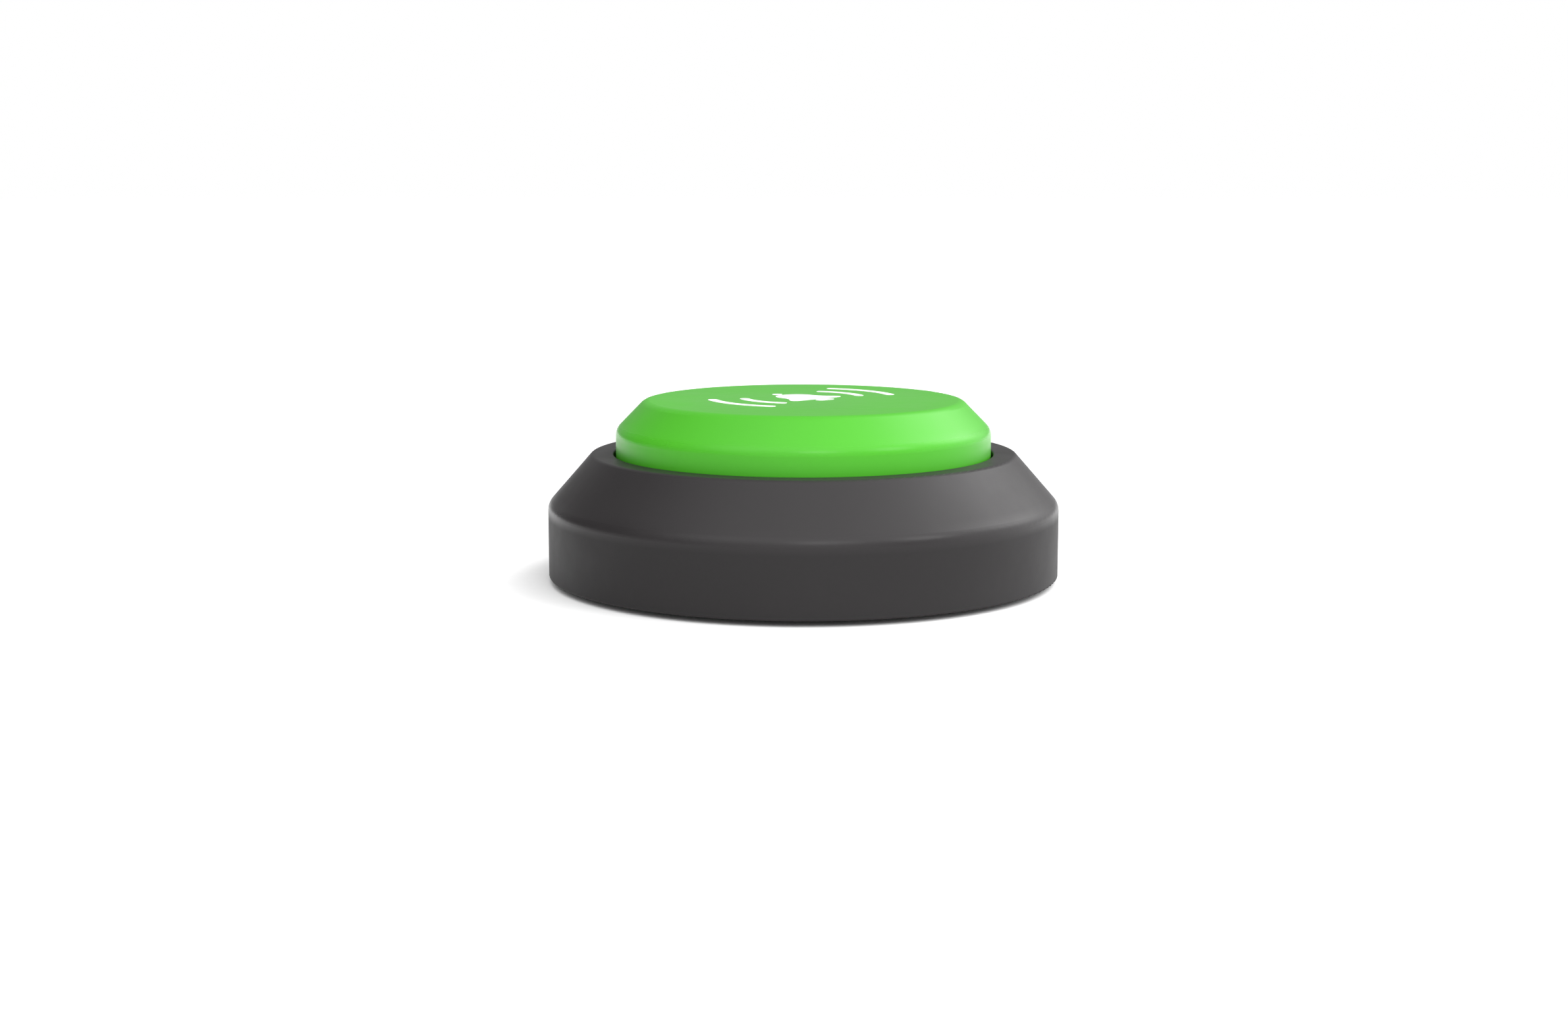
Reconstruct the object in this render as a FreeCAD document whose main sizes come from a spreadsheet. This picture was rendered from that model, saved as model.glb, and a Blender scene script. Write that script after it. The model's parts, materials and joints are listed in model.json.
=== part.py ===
import FreeCAD, Part

import math
import os
import re

import Sketcher
from FreeCAD import Rotation, Vector

# Tabletop quiz buzzer. A wide round cap stands in a chamfered round housing, on three coil springs.
# Pressing it pushes a switch on the circuit board, which plays a sound through a speaker in the base.
# Frame: +Z up, origin on the table under the centre, -Y the front. Millimetres.

DIMENSIONS = {
    # base housing: a shell with an upright wall, a chamfer and a flat rim round the cap
    "housing_radius": 45.0,
    "wall": 2.2,
    "foot_lift": 1.0,
    "shoulder_z": 13.6,
    "rim_radius": 37.3,
    "rim_z": 22.4,
    "shoulder_fillet": 2.5,
    "rim_fillet": 0.8,
    "small_fillet": 0.3,
    "guide_rib_radius": 34.2,
    "guide_rib_width": 2.4,
    "guide_rib_z": 12.0,
    "guide_gap": 0.4,
    # button cap
    "cap_radius": 33.0,
    "cap_gap": 0.4,
    "cap_shoulder_z": 26.6,
    "cap_top_radius": 28.0,
    "cap_top_z": 31.7,
    "cap_shoulder_fillet": 2.3,
    "cap_top_fillet": 2.0,
    "flange_radius": 35.4,
    "flange_height": 2.0,
    "flange_gap": 0.2,
    "press_travel": 2.5,
    "stop_gap": 0.05,
    "stop_post_radius": 2.5,
    "cap_rib_length": 26.5,
    "cap_rib_height": 1.5,
    "cap_rib_width": 1.2,
    "actuator_radius": 2.5,
    "actuator_tip_z": 27.05,
    # return springs
    "spring_circle_radius": 24.0,
    "spring_radius": 2.95,
    "spring_wire_radius": 0.35,
    "spring_turns": 7,
    "spring_post_radius": 2.3,
    "spring_post_height": 2.5,
    "spring_boss_height": 4.0,
    # bottom cover and its three screws
    "cover_radius": 42.6,
    "cover_z": 1.4,
    "cover_thickness": 2.0,
    "cover_pad_radius": 3.4,
    "cover_pad_z": 4.4,
    "housing_boss_radius": 3.0,
    "housing_boss_top_z": 15.5,
    "housing_boss_roof": 1.5,
    "web_half_width": 0.8,
    "cover_screw_circle_radius": 39.0,
    "cover_screw_radius": 1.25,
    "cover_screw_head_radius": 2.6,
    "cover_screw_head_height": 1.5,
    "cover_screw_length": 9.0,
    "cover_screw_seat_z": 3.2,
    "blind_hole_floor": 0.8,
    # rubber feet
    "foot_offset": 25.5,
    "foot_radius": 4.5,
    "foot_recess": 0.6,
    "foot_chamfer": 0.4,
    # battery compartment and its door
    "cell_radius": 5.25,
    "cell_length": 44.5,
    "cell_edge": 0.5,
    "nub_radius": 1.9,
    "nub_height": 0.8,
    "cell_y": 5.45,
    "cell_z": 8.5,
    "box_half_length": 25.0,
    "box_half_width": 10.9,
    "box_wall": 1.2,
    "box_ceiling_z": 13.9,
    "plateau_half_length": 34.0,
    "plateau_half_width": 13.9,
    "plateau_z": 4.8,
    "door_half_length": 32.0,
    "door_half_width": 12.3,
    "door_thickness": 1.6,
    "door_clearance": 0.2,
    "door_corner": 4.0,
    "door_screw_x": 29.4,
    "door_screw_radius": 1.1,
    "door_screw_tip_z": 9.0,
    "door_screw_head_radius": 2.2,
    "door_screw_head_height": 1.05,
    "door_screw_sink": 0.15,
    "door_seat_gap": 0.1,
    "door_boss_radius": 2.6,
    "door_boss_top_z": 9.6,
    "washer_radius": 2.1,
    "washer_thickness": 0.6,
    "groove_pitch": 2.4,
    "groove_half_width": 0.6,
    "groove_half_length": 6.0,
    "groove_depth": 0.4,
    # battery contacts
    "contact_thickness": 0.4,
    "contact_half_width": 4.0,
    "contact_low_z": 4.2,
    "contact_height": 8.4,
    "bump_height": 0.6,
    "bump_radius": 2.0,
    "tab_length": 3.0,
    "tab_half_width": 1.2,
    "tab_z": 10.5,
    "tab_thickness": 0.5,
    "tab_clearance": 0.2,
    "contact_spring_wide": 3.6,
    "contact_spring_narrow": 2.2,
    "contact_spring_wire": 0.3,
    "contact_spring_turns": 4,
    # inner deck over the battery compartment
    "deck_z": 15.3,
    "deck_thickness": 1.6,
    "deck_radius": 29.6,
    "deck_screw_x": 15.0,
    "deck_screw_y": 18.5,
    "deck_boss_radius": 2.6,
    "deck_screw_radius": 1.1,
    "deck_screw_head_radius": 2.0,
    "deck_screw_head_height": 1.4,
    "deck_screw_length": 8.6,
    "notch_x": 26.0,
    "notch_half_width": 8.0,
    "window_half_width": 6.0,
    "window_near_y": 14.5,
    "window_far_y": 19.0,
    # circuit board and what is on it
    "board_half_length": 16.0,
    "board_half_width": 12.5,
    "board_thickness": 1.6,
    "board_corner": 1.0,
    "board_lift": 1.2,
    "board_screw_x": 13.5,
    "board_screw_y": 10.0,
    "board_post_radius": 2.1,
    "board_screw_radius": 0.9,
    "board_screw_head_radius": 1.9,
    "board_screw_head_height": 1.3,
    "board_screw_length": 4.0,
    "press_switch_half": 4.0,
    "press_switch_height": 4.0,
    "press_switch_lid": 0.6,
    "press_switch_floor": 0.5,
    "plunger_radius": 1.75,
    "plunger_flange_radius": 2.6,
    "plunger_flange_height": 0.8,
    "plunger_gap": 0.15,
    "plunger_top_z": 27.0,
    "leg_y": 2.2,
    "leg_width": 0.8,
    "leg_height": 1.4,
    "leg_reach": 1.5,
    "leg_thickness": 0.25,
    "chip_x": -9.8,
    "chip_radius": 3.6,
    "chip_height": 1.5,
    "capacitor_x": 9.2,
    "capacitor_y": 6.6,
    "capacitor_radius": 2.0,
    "capacitor_height": 5.2,
    "capacitor_base_height": 0.8,
    "capacitor_base_margin": 0.15,
    "transistor_x": 9.6,
    "transistor_y": -5.0,
    "transistor_half_length": 1.45,
    "transistor_half_width": 0.65,
    "transistor_height": 1.1,
    "transistor_lead_x": 0.95,
    "transistor_lead_half_width": 0.2,
    "transistor_lead_reach": 1.3,
    "transistor_lead_height": 0.5,
    "resistor_x": -8.0,
    "resistor_y": 7.4,
    "resistor_pitch": 3.0,
    "resistor_half_width": 0.62,
    "resistor_half_length": 1.0,
    "resistor_height": 0.5,
    # speaker, facing down through the grille
    "speaker_y": -27.8,
    "speaker_radius": 13.4,
    "speaker_ring_radius": 11.5,
    "gasket_thickness": 0.4,
    "film_thickness": 0.2,
    "film_radius": 13.2,
    "cone_radius": 7.6,
    "cone_rise": 1.6,
    "roll_radius": 11.0,
    "roll_rise": 0.6,
    "basket_ring_thickness": 0.6,
    "basket_sheet": 0.6,
    "basket_shoulder_radius": 8.4,
    "basket_hole_radius": 4.0,
    "basket_height": 3.4,
    "vent_offset": 7.0,
    "vent_radius": 1.0,
    "voice_coil_radius": 3.7,
    "voice_coil_thickness": 0.4,
    "voice_coil_z": 1.9,
    "voice_coil_height": 3.1,
    "magnet_radius": 3.2,
    "magnet_height": 2.0,
    "yoke_radius": 7.0,
    "yoke_bore_radius": 4.2,
    "yoke_plate": 0.8,
    "terminal_y": 9.2,
    "terminal_half_length": 3.6,
    "terminal_half_width": 1.8,
    "terminal_thickness": 0.8,
    "collar_inner_radius": 13.6,
    "collar_outer_radius": 14.6,
    "collar_z": 4.5,
    "grille_hole_radius": 1.0,
    "grille_pitch": 3.4,
    "speaker_post_radius": 1.5,
    "speaker_screw_x": 16.2,
    "speaker_screw_head_radius": 3.6,
    "speaker_screw_head_height": 1.1,
    "speaker_screw_length": 2.2,
    # power switch, worked from below
    "power_y": 24.0,
    "power_bracket_z": 5.4,
    "power_bracket_thickness": 0.5,
    "power_bracket_half_length": 9.6,
    "power_bracket_half_width": 2.7,
    "power_bracket_corner": 1.5,
    "power_body_half_length": 4.5,
    "power_body_half_width": 2.1,
    "power_body_height": 3.5,
    "power_well_height": 2.1,
    "power_pin_x": 2.5,
    "power_pin_half_width": 0.4,
    "power_pin_half_thickness": 0.15,
    "power_pin_height": 3.0,
    "power_knob_travel": 2.0,
    "power_knob_tip_z": 1.7,
    "power_slider_half_length": 2.0,
    "power_slider_half_width": 1.1,
    "power_slider_height": 1.8,
    "power_stem_half_length": 1.0,
    "power_stem_half_width": 0.9,
    "power_gap": 0.2,
    "knob_ridge_depth": 0.3,
    "knob_ridge_half_width": 0.15,
    "knob_ridge_x": 0.45,
    "finger_recess_half_length": 4.6,
    "finger_recess_half_width": 2.6,
    "finger_recess_depth": 0.7,
    "power_post_radius": 1.9,
    "power_screw_x": 7.5,
    "power_screw_head_radius": 1.7,
    "power_screw_head_height": 1.0,
    "power_screw_length": 3.0,
    "small_screw_radius": 0.8,
    # a pan head's rounded share, and its cross recess as shares of the head's height and radius
    "crown_share": 0.6,
    "recess_depth": 0.55,
    "recess_reach": 0.55,
    "recess_width": 0.13,
    # wires
    "wire_radius": 0.6,
    "wire_rise": 2.3,
    "wire_dip": 0.4,
    "solder_margin": 1.8,
    # fits, how far a boss or rib runs into its wall, and how far a cut runs past a face
    "thread_gap": 0.02,
    "running_gap": 0.05,
    "through_gap": 0.2,
    "head_gap": 0.4,
    "foot_gap": 0.1,
    "hole_spare": 0.6,
    "embed": 0.5,
    "overcut": 0.5,
}

# Sizes that follow from the driving dimensions.
DERIVED = {
    "shoulder_turn": "atan((housing_radius - rim_radius) / (rim_z - shoulder_z))",
    "wall_inner_radius": "housing_radius - wall",
    "shoulder_inner_z": "shoulder_z - wall * tan(shoulder_turn / 2)",
    "rim_under_z": "rim_z - wall",
    "rim_inner_radius": "rim_radius - wall * tan((90 deg - shoulder_turn) / 2)",
    "opening_radius": "cap_radius + cap_gap",
    "cap_turn": "atan((cap_radius - cap_top_radius) / (cap_top_z - cap_shoulder_z))",
    "cap_inner_radius": "cap_radius - wall",
    "cap_under_z": "cap_top_z - wall",
    "cap_shoulder_inner_z": "cap_shoulder_z - wall * tan(cap_turn / 2)",
    "cap_top_inner_radius": "cap_top_radius - wall * tan((90 deg - cap_turn) / 2)",
    "flange_top_z": "rim_under_z - flange_gap",
    "flange_z": "flange_top_z - flange_height",
    "notch_radius": "guide_rib_radius - guide_gap",
    "stop_post_z": "deck_top_z + press_travel + stop_gap",
    "cover_top_z": "cover_z + cover_thickness",
    "box_roof_z": "box_ceiling_z + box_wall",
    "door_top_z": "cover_z + door_thickness",
    "door_head_z": "cover_z + door_screw_sink",
    "deck_top_z": "deck_z + deck_thickness",
    "window_y": "(window_near_y + window_far_y) / 2",
    "window_half_depth": "(window_far_y - window_near_y) / 2",
    "board_z": "deck_top_z + board_lift",
    "board_top_z": "board_z + board_thickness",
    "lid_z": "board_top_z + press_switch_height",
    "plunger_z": "board_top_z + press_switch_floor + press_travel + stop_gap",
    "contact_x": "box_half_length - contact_thickness",
    "film_z": "gasket_thickness",
    "basket_z": "film_z + film_thickness",
    "basket_ring_top": "basket_z + basket_ring_thickness",
    "magnet_top": "basket_height + magnet_height",
    "speaker_seat_z": "cover_top_z + basket_ring_top",
    "power_body_z": "power_bracket_z + power_bracket_thickness",
    "power_slot_half_length": "power_knob_travel / 2 + power_stem_half_length + power_gap",
    "power_slot_half_width": "power_stem_half_width + power_gap",
    "wire_z": "board_top_z + wire_rise",
}

AXIS_Z = Vector(0, 0, 1)

document = FreeCAD.newDocument("quiz_buzzer")
sheet = document.addObject("Spreadsheet::Sheet", "dims")
for row, (alias, number) in enumerate(DIMENSIONS.items(), 1):
    sheet.set(f"A{row}", alias.replace("_", " "))
    sheet.set(f"B{row}", str(number))
    sheet.setAlias(f"B{row}", alias)
document.recompute()

nodes = []


# Expressions ---------------------------------------------------------------------------------


def bind(expression):
    """The expression with each derived size written out and each alias read from the sheet."""

    def written(match):
        word = match.group()
        if word in DERIVED:
            return "(" + bind(DERIVED[word]) + ")"
        return "dims." + word if word in DIMENSIONS else word

    return re.sub(r"[a-z_][a-z_0-9]*", written, expression)


def value(expression):
    """The number that an expression has now."""
    found = sheet.evalExpression(bind(expression))
    return float(getattr(found, "Value", found))


def opposite(expression):
    return f"-({expression})"


def corners(x, y):
    """The four points (x, y) with both signs."""
    return [(x, y), (opposite(x), y), (opposite(x), opposite(y)), (x, opposite(y))]


def both_sides(x, y):
    return [(x, y), (opposite(x), y)]


# Sketch outlines -----------------------------------------------------------------------------


def fix_point(sketch, geometry, end, x, y):
    """Ties one point of a sketch to two expressions."""
    for kind, expression in (("DistanceX", x), ("DistanceY", y)):
        index = sketch.addConstraint(
            Sketcher.Constraint(kind, -1, 1, geometry, end, value(expression))
        )
        sketch.setExpression(f"Constraints[{index}]", bind(expression))


def circle(x, y, radius):
    def draw(sketch):
        centre = Vector(value(x), value(y), 0)
        made = sketch.addGeometry(Part.Circle(centre, AXIS_Z, value(radius)), False)
        fix_point(sketch, made, 3, x, y)
        index = sketch.addConstraint(Sketcher.Constraint("Radius", made, value(radius)))
        sketch.setExpression(f"Constraints[{index}]", bind(radius))

    return draw


def polygon(points):
    def draw(sketch):
        places = [Vector(value(x), value(y), 0) for x, y in points]
        following = places[1:] + places[:1]
        lines = [Part.LineSegment(a, b) for a, b in zip(places, following)]
        made = sketch.addGeometry(lines, False)
        for number, line in enumerate(made):
            after = made[(number + 1) % len(made)]
            sketch.addConstraint(Sketcher.Constraint("Coincident", line, 2, after, 1))
            fix_point(sketch, line, 1, *points[number])

    return draw


def rectangle(x, y, half_x, half_y):
    left, right = f"{x} - ({half_x})", f"{x} + {half_x}"
    low, high = f"{y} - ({half_y})", f"{y} + {half_y}"
    return polygon([(left, low), (right, low), (right, high), (left, high)])


# Features ------------------------------------------------------------------------------------


def new_body(name):
    body = document.addObject("PartDesign::Body", name)
    body.Label = name
    body.AllowCompound = True
    nodes.append(body)
    return body


def datum(body, role):
    return next(item for item in body.Origin.OriginFeatures if item.Role == role)


def add_sketch(body, name, shapes, plane, level):
    sketch = body.newObject("Sketcher::SketchObject", name + "_sketch")
    sketch.AttachmentSupport = [(datum(body, plane), "")]
    sketch.MapMode = "FlatFace"
    sketch.setExpression("AttachmentOffset.Base.z", bind(level))
    for draw in shapes:
        draw(sketch)
    return sketch


def solid_volume(body):
    return 0.0 if body.Shape.isNull() else body.Shape.Volume


def grow_or_cut(kind, body, name, shapes, level, length, plane, flip, symmetric, taper=None):
    """A Pad or a Pocket, which has to change the body's volume the right way."""
    before = solid_volume(body)
    feature = body.newObject("PartDesign::" + kind, name)
    feature.Profile = add_sketch(body, name, shapes, plane, level)
    feature.setExpression("Length", bind(length))
    feature.Reversed = flip
    if symmetric:
        feature.SideType = "Symmetric"
    if taper:
        feature.TaperAngle = taper
    document.recompute()
    change = solid_volume(body) - before
    if change * (1 if kind == "Pad" else -1) <= 0:
        raise ValueError(f"{body.Label}: {name} changed the volume by {change}")
    return feature


def pad(body, name, shapes, level, length, plane="XY_Plane", flip=False, symmetric=False, taper=None):
    return grow_or_cut("Pad", body, name, shapes, level, length, plane, flip, symmetric, taper)


def pocket(body, name, shapes, level, length, plane="XY_Plane", up=True, symmetric=False):
    return grow_or_cut("Pocket", body, name, shapes, level, length, plane, up, symmetric)


def revolve(body, name, points, plane="XZ_Plane", axis="V_Axis"):
    feature = body.newObject("PartDesign::Revolution", name)
    sketch = add_sketch(body, name, [polygon(points)], plane, "0")
    feature.Profile = sketch
    feature.ReferenceAxis = (sketch, [axis])
    feature.Angle = 360
    document.recompute()
    return feature


def around(body, name, features, count):
    """Copies features round the body's Z axis."""
    feature = body.newObject("PartDesign::PolarPattern", name)
    feature.Originals = features
    feature.Axis = (datum(body, "Z_Axis"), [""])
    feature.Angle = 360
    feature.Occurrences = count
    body.Tip = feature
    document.recompute()
    return feature


def soften(kind, body, name, size, chosen):
    """A Fillet or Chamfer on the tip's edges that chosen picks."""
    tip = body.Tip
    named = [f"Edge{i}" for i, edge in enumerate(tip.Shape.Edges, 1) if chosen(edge)]
    if not named:
        raise ValueError(f"{body.Label}: {name} found no edge")
    feature = body.newObject("PartDesign::" + kind, name)
    feature.Base = (tip, named)
    feature.setExpression("Radius" if kind == "Fillet" else "Size", bind(size))
    document.recompute()
    return feature


def fillet(body, name, size, chosen):
    return soften("Fillet", body, name, size, chosen)


def chamfer(body, name, size, chosen):
    return soften("Chamfer", body, name, size, chosen)


def ring_edge(radius, z):
    """Picks circular edges of that radius at that height."""
    wanted_radius, wanted_z = value(radius), value(z)

    def chosen(edge):
        curve = edge.Curve
        return (
            isinstance(curve, Part.Circle)
            and abs(curve.Radius - wanted_radius) < 1e-3
            and abs(curve.Center.z - wanted_z) < 1e-3
        )

    return chosen


def upright(edge):
    """Picks straight edges along Z."""
    ends = [vertex.Point for vertex in edge.Vertexes]
    return len(ends) == 2 and math.hypot(ends[0].x - ends[1].x, ends[0].y - ends[1].y) < 1e-6


def place(body, x="0", y="0", z="0", turn=0.0):
    body.Placement = FreeCAD.Placement(Vector(value(x), value(y), value(z)), Rotation(AXIS_Z, turn))
    for letter, expression in zip("xyz", (x, y, z)):
        body.setExpression(f"Placement.Base.{letter}", bind(expression))


# Screws --------------------------------------------------------------------------------------


def cross_recess(body, centres, head_radius, head_height, crown, heads_up):
    reach, width = f"recess_reach * {head_radius}", f"recess_width * {head_radius}"
    for label, half_x, half_y in (("recess_a", reach, width), ("recess_b", width, reach)):
        slots = [rectangle(x, y, half_x, half_y) for x, y in centres]
        pocket(body, label, slots, crown, f"recess_depth * {head_height}", up=not heads_up)


def screws(name, kind, centres, seat, shank_radius=None, heads_up=True):
    """Pan-head screws, one solid each, of the sizes named after kind. The heads' undersides are at seat."""
    body = new_body(name)
    head_radius, head_height = kind + "_head_radius", kind + "_head_height"
    shank_radius = shank_radius or kind + "_radius"
    heads = [circle(x, y, head_radius) for x, y in centres]
    shanks = [circle(x, y, shank_radius) for x, y in centres]
    crown = f"{seat} + {head_height}" if heads_up else f"{seat} - {head_height}"
    pad(body, "heads", heads, seat, head_height, flip=not heads_up)
    fillet(body, "crowns", f"crown_share * {head_height}", ring_edge(head_radius, crown))
    pad(body, "shanks", shanks, seat, kind + "_length", flip=heads_up)
    cross_recess(body, centres, head_radius, head_height, crown, heads_up)


# Housing and cover ---------------------------------------------------------------------------


def base_housing():
    body = new_body("base_housing")
    outline = [
        ("housing_radius", "foot_lift"),
        ("housing_radius", "shoulder_z"),
        ("rim_radius", "rim_z"),
        ("opening_radius", "rim_z"),
        ("opening_radius", "rim_under_z"),
        ("rim_inner_radius", "rim_under_z"),
        ("wall_inner_radius", "shoulder_inner_z"),
        ("wall_inner_radius", "foot_lift"),
    ]
    revolve(body, "shell", outline)
    fillet(body, "shoulder_round", "shoulder_fillet", ring_edge("housing_radius", "shoulder_z"))
    fillet(body, "rim_round", "rim_fillet", ring_edge("rim_radius", "rim_z"))
    fillet(body, "opening_round", "small_fillet", ring_edge("opening_radius", "rim_z"))
    fillet(body, "foot_round", "small_fillet", ring_edge("housing_radius", "foot_lift"))
    # three ribs that run in the flange's notches and stop the cap turning
    rib = polygon(
        [
            ("-guide_rib_radius", "guide_rib_z"),
            ("-guide_rib_radius", "rim_under_z + embed"),
            ("-(rim_inner_radius + embed)", "rim_under_z + embed"),
            ("-(wall_inner_radius + embed)", "shoulder_inner_z"),
            ("-(wall_inner_radius + embed)", "guide_rib_z"),
        ]
    )
    ribs = pad(body, "guide_rib", [rib], "0", "guide_rib_width", plane="YZ_Plane", symmetric=True)
    around(body, "guide_ribs", [ribs], 3)
    # three bosses for the cover screws, each joined to the wall by a web
    height = "housing_boss_top_z - cover_pad_z"
    centre = "cover_screw_circle_radius"
    web = rectangle(
        "0",
        f"(wall_inner_radius + embed + {centre}) / 2",
        "web_half_width",
        f"(wall_inner_radius + embed - {centre}) / 2",
    )
    webs = pad(body, "boss_web", [web], "cover_pad_z", height)
    bosses = pad(body, "boss", [circle("0", centre, "housing_boss_radius")], "cover_pad_z", height)
    hole = circle("0", centre, "cover_screw_radius + thread_gap")
    holes = pocket(body, "boss_hole", [hole], "cover_pad_z", f"{height} - housing_boss_roof")
    around(body, "bosses", [webs, bosses, holes], 3)


def bottom_cover():
    body = new_body("bottom_cover")
    pad(body, "plate", [circle("0", "0", "cover_radius")], "cover_z", "cover_thickness")
    chamfer(body, "plate_edge", "small_fillet", ring_edge("cover_radius", "cover_z"))
    add_cover_pillars(body)
    cut_battery_compartment(body)
    cut_cover_holes(body)


def add_cover_pillars(body):
    """The battery box, and the bosses, posts and collar on the cover's inner side."""
    plateau = rectangle("0", "0", "plateau_half_length", "plateau_half_width")
    pad(body, "plateau", [plateau], "cover_top_z", "plateau_z - cover_top_z")
    walls = rectangle("0", "0", "box_half_length + box_wall", "box_half_width + box_wall")
    pad(body, "battery_box", [walls], "cover_top_z", "box_roof_z - cover_top_z")
    thick_spot = circle("0", "cover_screw_circle_radius", "cover_pad_radius")
    pads = pad(body, "screw_pad", [thick_spot], "cover_top_z", "cover_pad_z - cover_top_z")
    around(body, "screw_pads", [pads], 3)
    rows = (
        ("deck_bosses", corners("deck_screw_x", "deck_screw_y"), "deck_boss_radius", "deck_z"),
        ("door_bosses", both_sides("door_screw_x", "0"), "door_boss_radius", "door_boss_top_z"),
        ("speaker_posts", both_sides("speaker_screw_x", "speaker_y"), "speaker_post_radius",
         "speaker_seat_z"),
        ("power_posts", both_sides("power_screw_x", "power_y"), "power_post_radius",
         "power_bracket_z"),
    )
    for name, places, radius, top in rows:
        posts = [circle(x, y, radius) for x, y in places]
        pad(body, name, posts, "cover_top_z", f"{top} - cover_top_z")
    rings = [circle("0", "speaker_y", f"collar_{side}_radius") for side in ("outer", "inner")]
    pad(body, "speaker_collar", rings, "cover_top_z", "collar_z - cover_top_z")


def cut_battery_compartment(body):
    half_x, half_y = "door_half_length + door_clearance", "door_half_width + door_clearance"
    pocket(body, "door_recess", [rectangle("0", "0", half_x, half_y)], "cover_z", "door_thickness")
    corner_x, corner_y = value(half_x), value(half_y)

    def recess_corner(edge):
        x, y = abs(edge.CenterOfMass.x), abs(edge.CenterOfMass.y)
        return upright(edge) and abs(x - corner_x) < 1e-3 and abs(y - corner_y) < 1e-3

    fillet(body, "recess_corners", "door_corner + door_clearance", recess_corner)
    cavity = rectangle("0", "0", "box_half_length", "box_half_width")
    pocket(body, "battery_cavity", [cavity], "door_top_z", "box_ceiling_z - door_top_z")
    slots = [
        rectangle(y, "tab_z + tab_thickness / 2", "tab_half_width + tab_clearance",
                  "tab_thickness / 2 + tab_clearance")
        for y in ("cell_y", "-cell_y")
    ]
    through = "box_wall + 2 * overcut"
    pocket(body, "tab_slots", slots, "box_half_length - overcut", through, plane="YZ_Plane")
    places = both_sides("door_screw_x", "0")
    holes = [circle(x, y, "door_screw_radius + running_gap") for x, y in places]
    depth = "door_screw_tip_z + door_clearance - door_top_z"
    pocket(body, "door_screw_holes", holes, "door_top_z", depth)
    seats = [circle(x, y, "washer_radius + through_gap") for x, y in places]
    pocket(body, "washer_seats", seats, "door_top_z", "washer_thickness + through_gap")


def cut_cover_holes(body):
    """Screw holes, foot recesses, the grille and the power switch's slot."""
    centre = ("0", "cover_screw_circle_radius")
    seat = circle(*centre, "cover_screw_head_radius + head_gap")
    seats = pocket(body, "screw_seat", [seat], "cover_z", "cover_screw_seat_z - cover_z")
    hole = circle(*centre, "cover_screw_radius + through_gap")
    depth = "cover_pad_z - cover_screw_seat_z"
    holes = pocket(body, "screw_hole", [hole], "cover_screw_seat_z", depth)
    around(body, "screw_holes", [seats, holes], 3)
    recess = circle("foot_offset", "foot_offset", "foot_radius + foot_gap")
    recesses = pocket(body, "foot_recess", [recess], "cover_z", "foot_recess")
    around(body, "foot_recesses", [recesses], 4)
    places = corners("deck_screw_x", "deck_screw_y")
    holes = [circle(x, y, "deck_screw_radius + thread_gap") for x, y in places]
    depth = "deck_screw_length - deck_thickness + hole_spare"
    pocket(body, "deck_holes", holes, "deck_z", depth, up=False)
    for name, places, top in (
        ("speaker_holes", both_sides("speaker_screw_x", "speaker_y"), "speaker_seat_z"),
        ("power_holes", both_sides("power_screw_x", "power_y"), "power_bracket_z"),
    ):
        holes = [circle(x, y, "small_screw_radius + thread_gap") for x, y in places]
        pocket(body, name, holes, top, f"{top} - cover_z - blind_hole_floor", up=False)
    grille = [circle("0", "speaker_y", "grille_hole_radius")]
    for ring in (1, 2, 3):
        for step in range(6 * ring):
            x = f"{ring} * grille_pitch * cos({60 * step / ring})"
            y = f"speaker_y + {ring} * grille_pitch * sin({60 * step / ring})"
            grille.append(circle(x, y, "grille_hole_radius"))
    pocket(body, "grille", grille, "cover_z", "cover_thickness")
    finger = rectangle("0", "power_y", "finger_recess_half_length", "finger_recess_half_width")
    pocket(body, "finger_recess", [finger], "cover_z", "finger_recess_depth")
    slot = rectangle("0", "power_y", "power_slot_half_length", "power_slot_half_width")
    pocket(body, "power_slot", [slot], "cover_z", "cover_thickness")


def rubber_feet():
    body = new_body("rubber_feet")
    foot = circle("foot_offset", "foot_offset", "foot_radius")
    made = pad(body, "foot", [foot], "0", "cover_z + foot_recess")
    around(body, "feet", [made], 4)
    chamfer(body, "foot_edges", "foot_chamfer", ring_edge("foot_radius", "0"))


def cover_screws():
    centre = "cover_screw_circle_radius"
    places = [(f"{centre} * cos({turn})", f"{centre} * sin({turn})") for turn in (90, 210, 330)]
    screws("cover_screws", "cover_screw", places, "cover_screw_seat_z", heads_up=False)


# Battery door --------------------------------------------------------------------------------


def battery_door():
    body = new_body("battery_door")
    plate = rectangle("0", "0", "door_half_length", "door_half_width")
    pad(body, "plate", [plate], "cover_z", "door_thickness")
    fillet(body, "corners", "door_corner", upright)
    for name, x in (("right_seat", "door_screw_x"), ("left_seat", "-door_screw_x")):
        cut_countersink(body, name, x)
    # finger ridges left standing between shallow grooves
    grooves = [
        rectangle(f"{step} * groove_pitch", "0", "groove_half_width", "groove_half_length")
        for step in range(-3, 4)
    ]
    pocket(body, "finger_grooves", grooves, "cover_z", "groove_depth")


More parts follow.
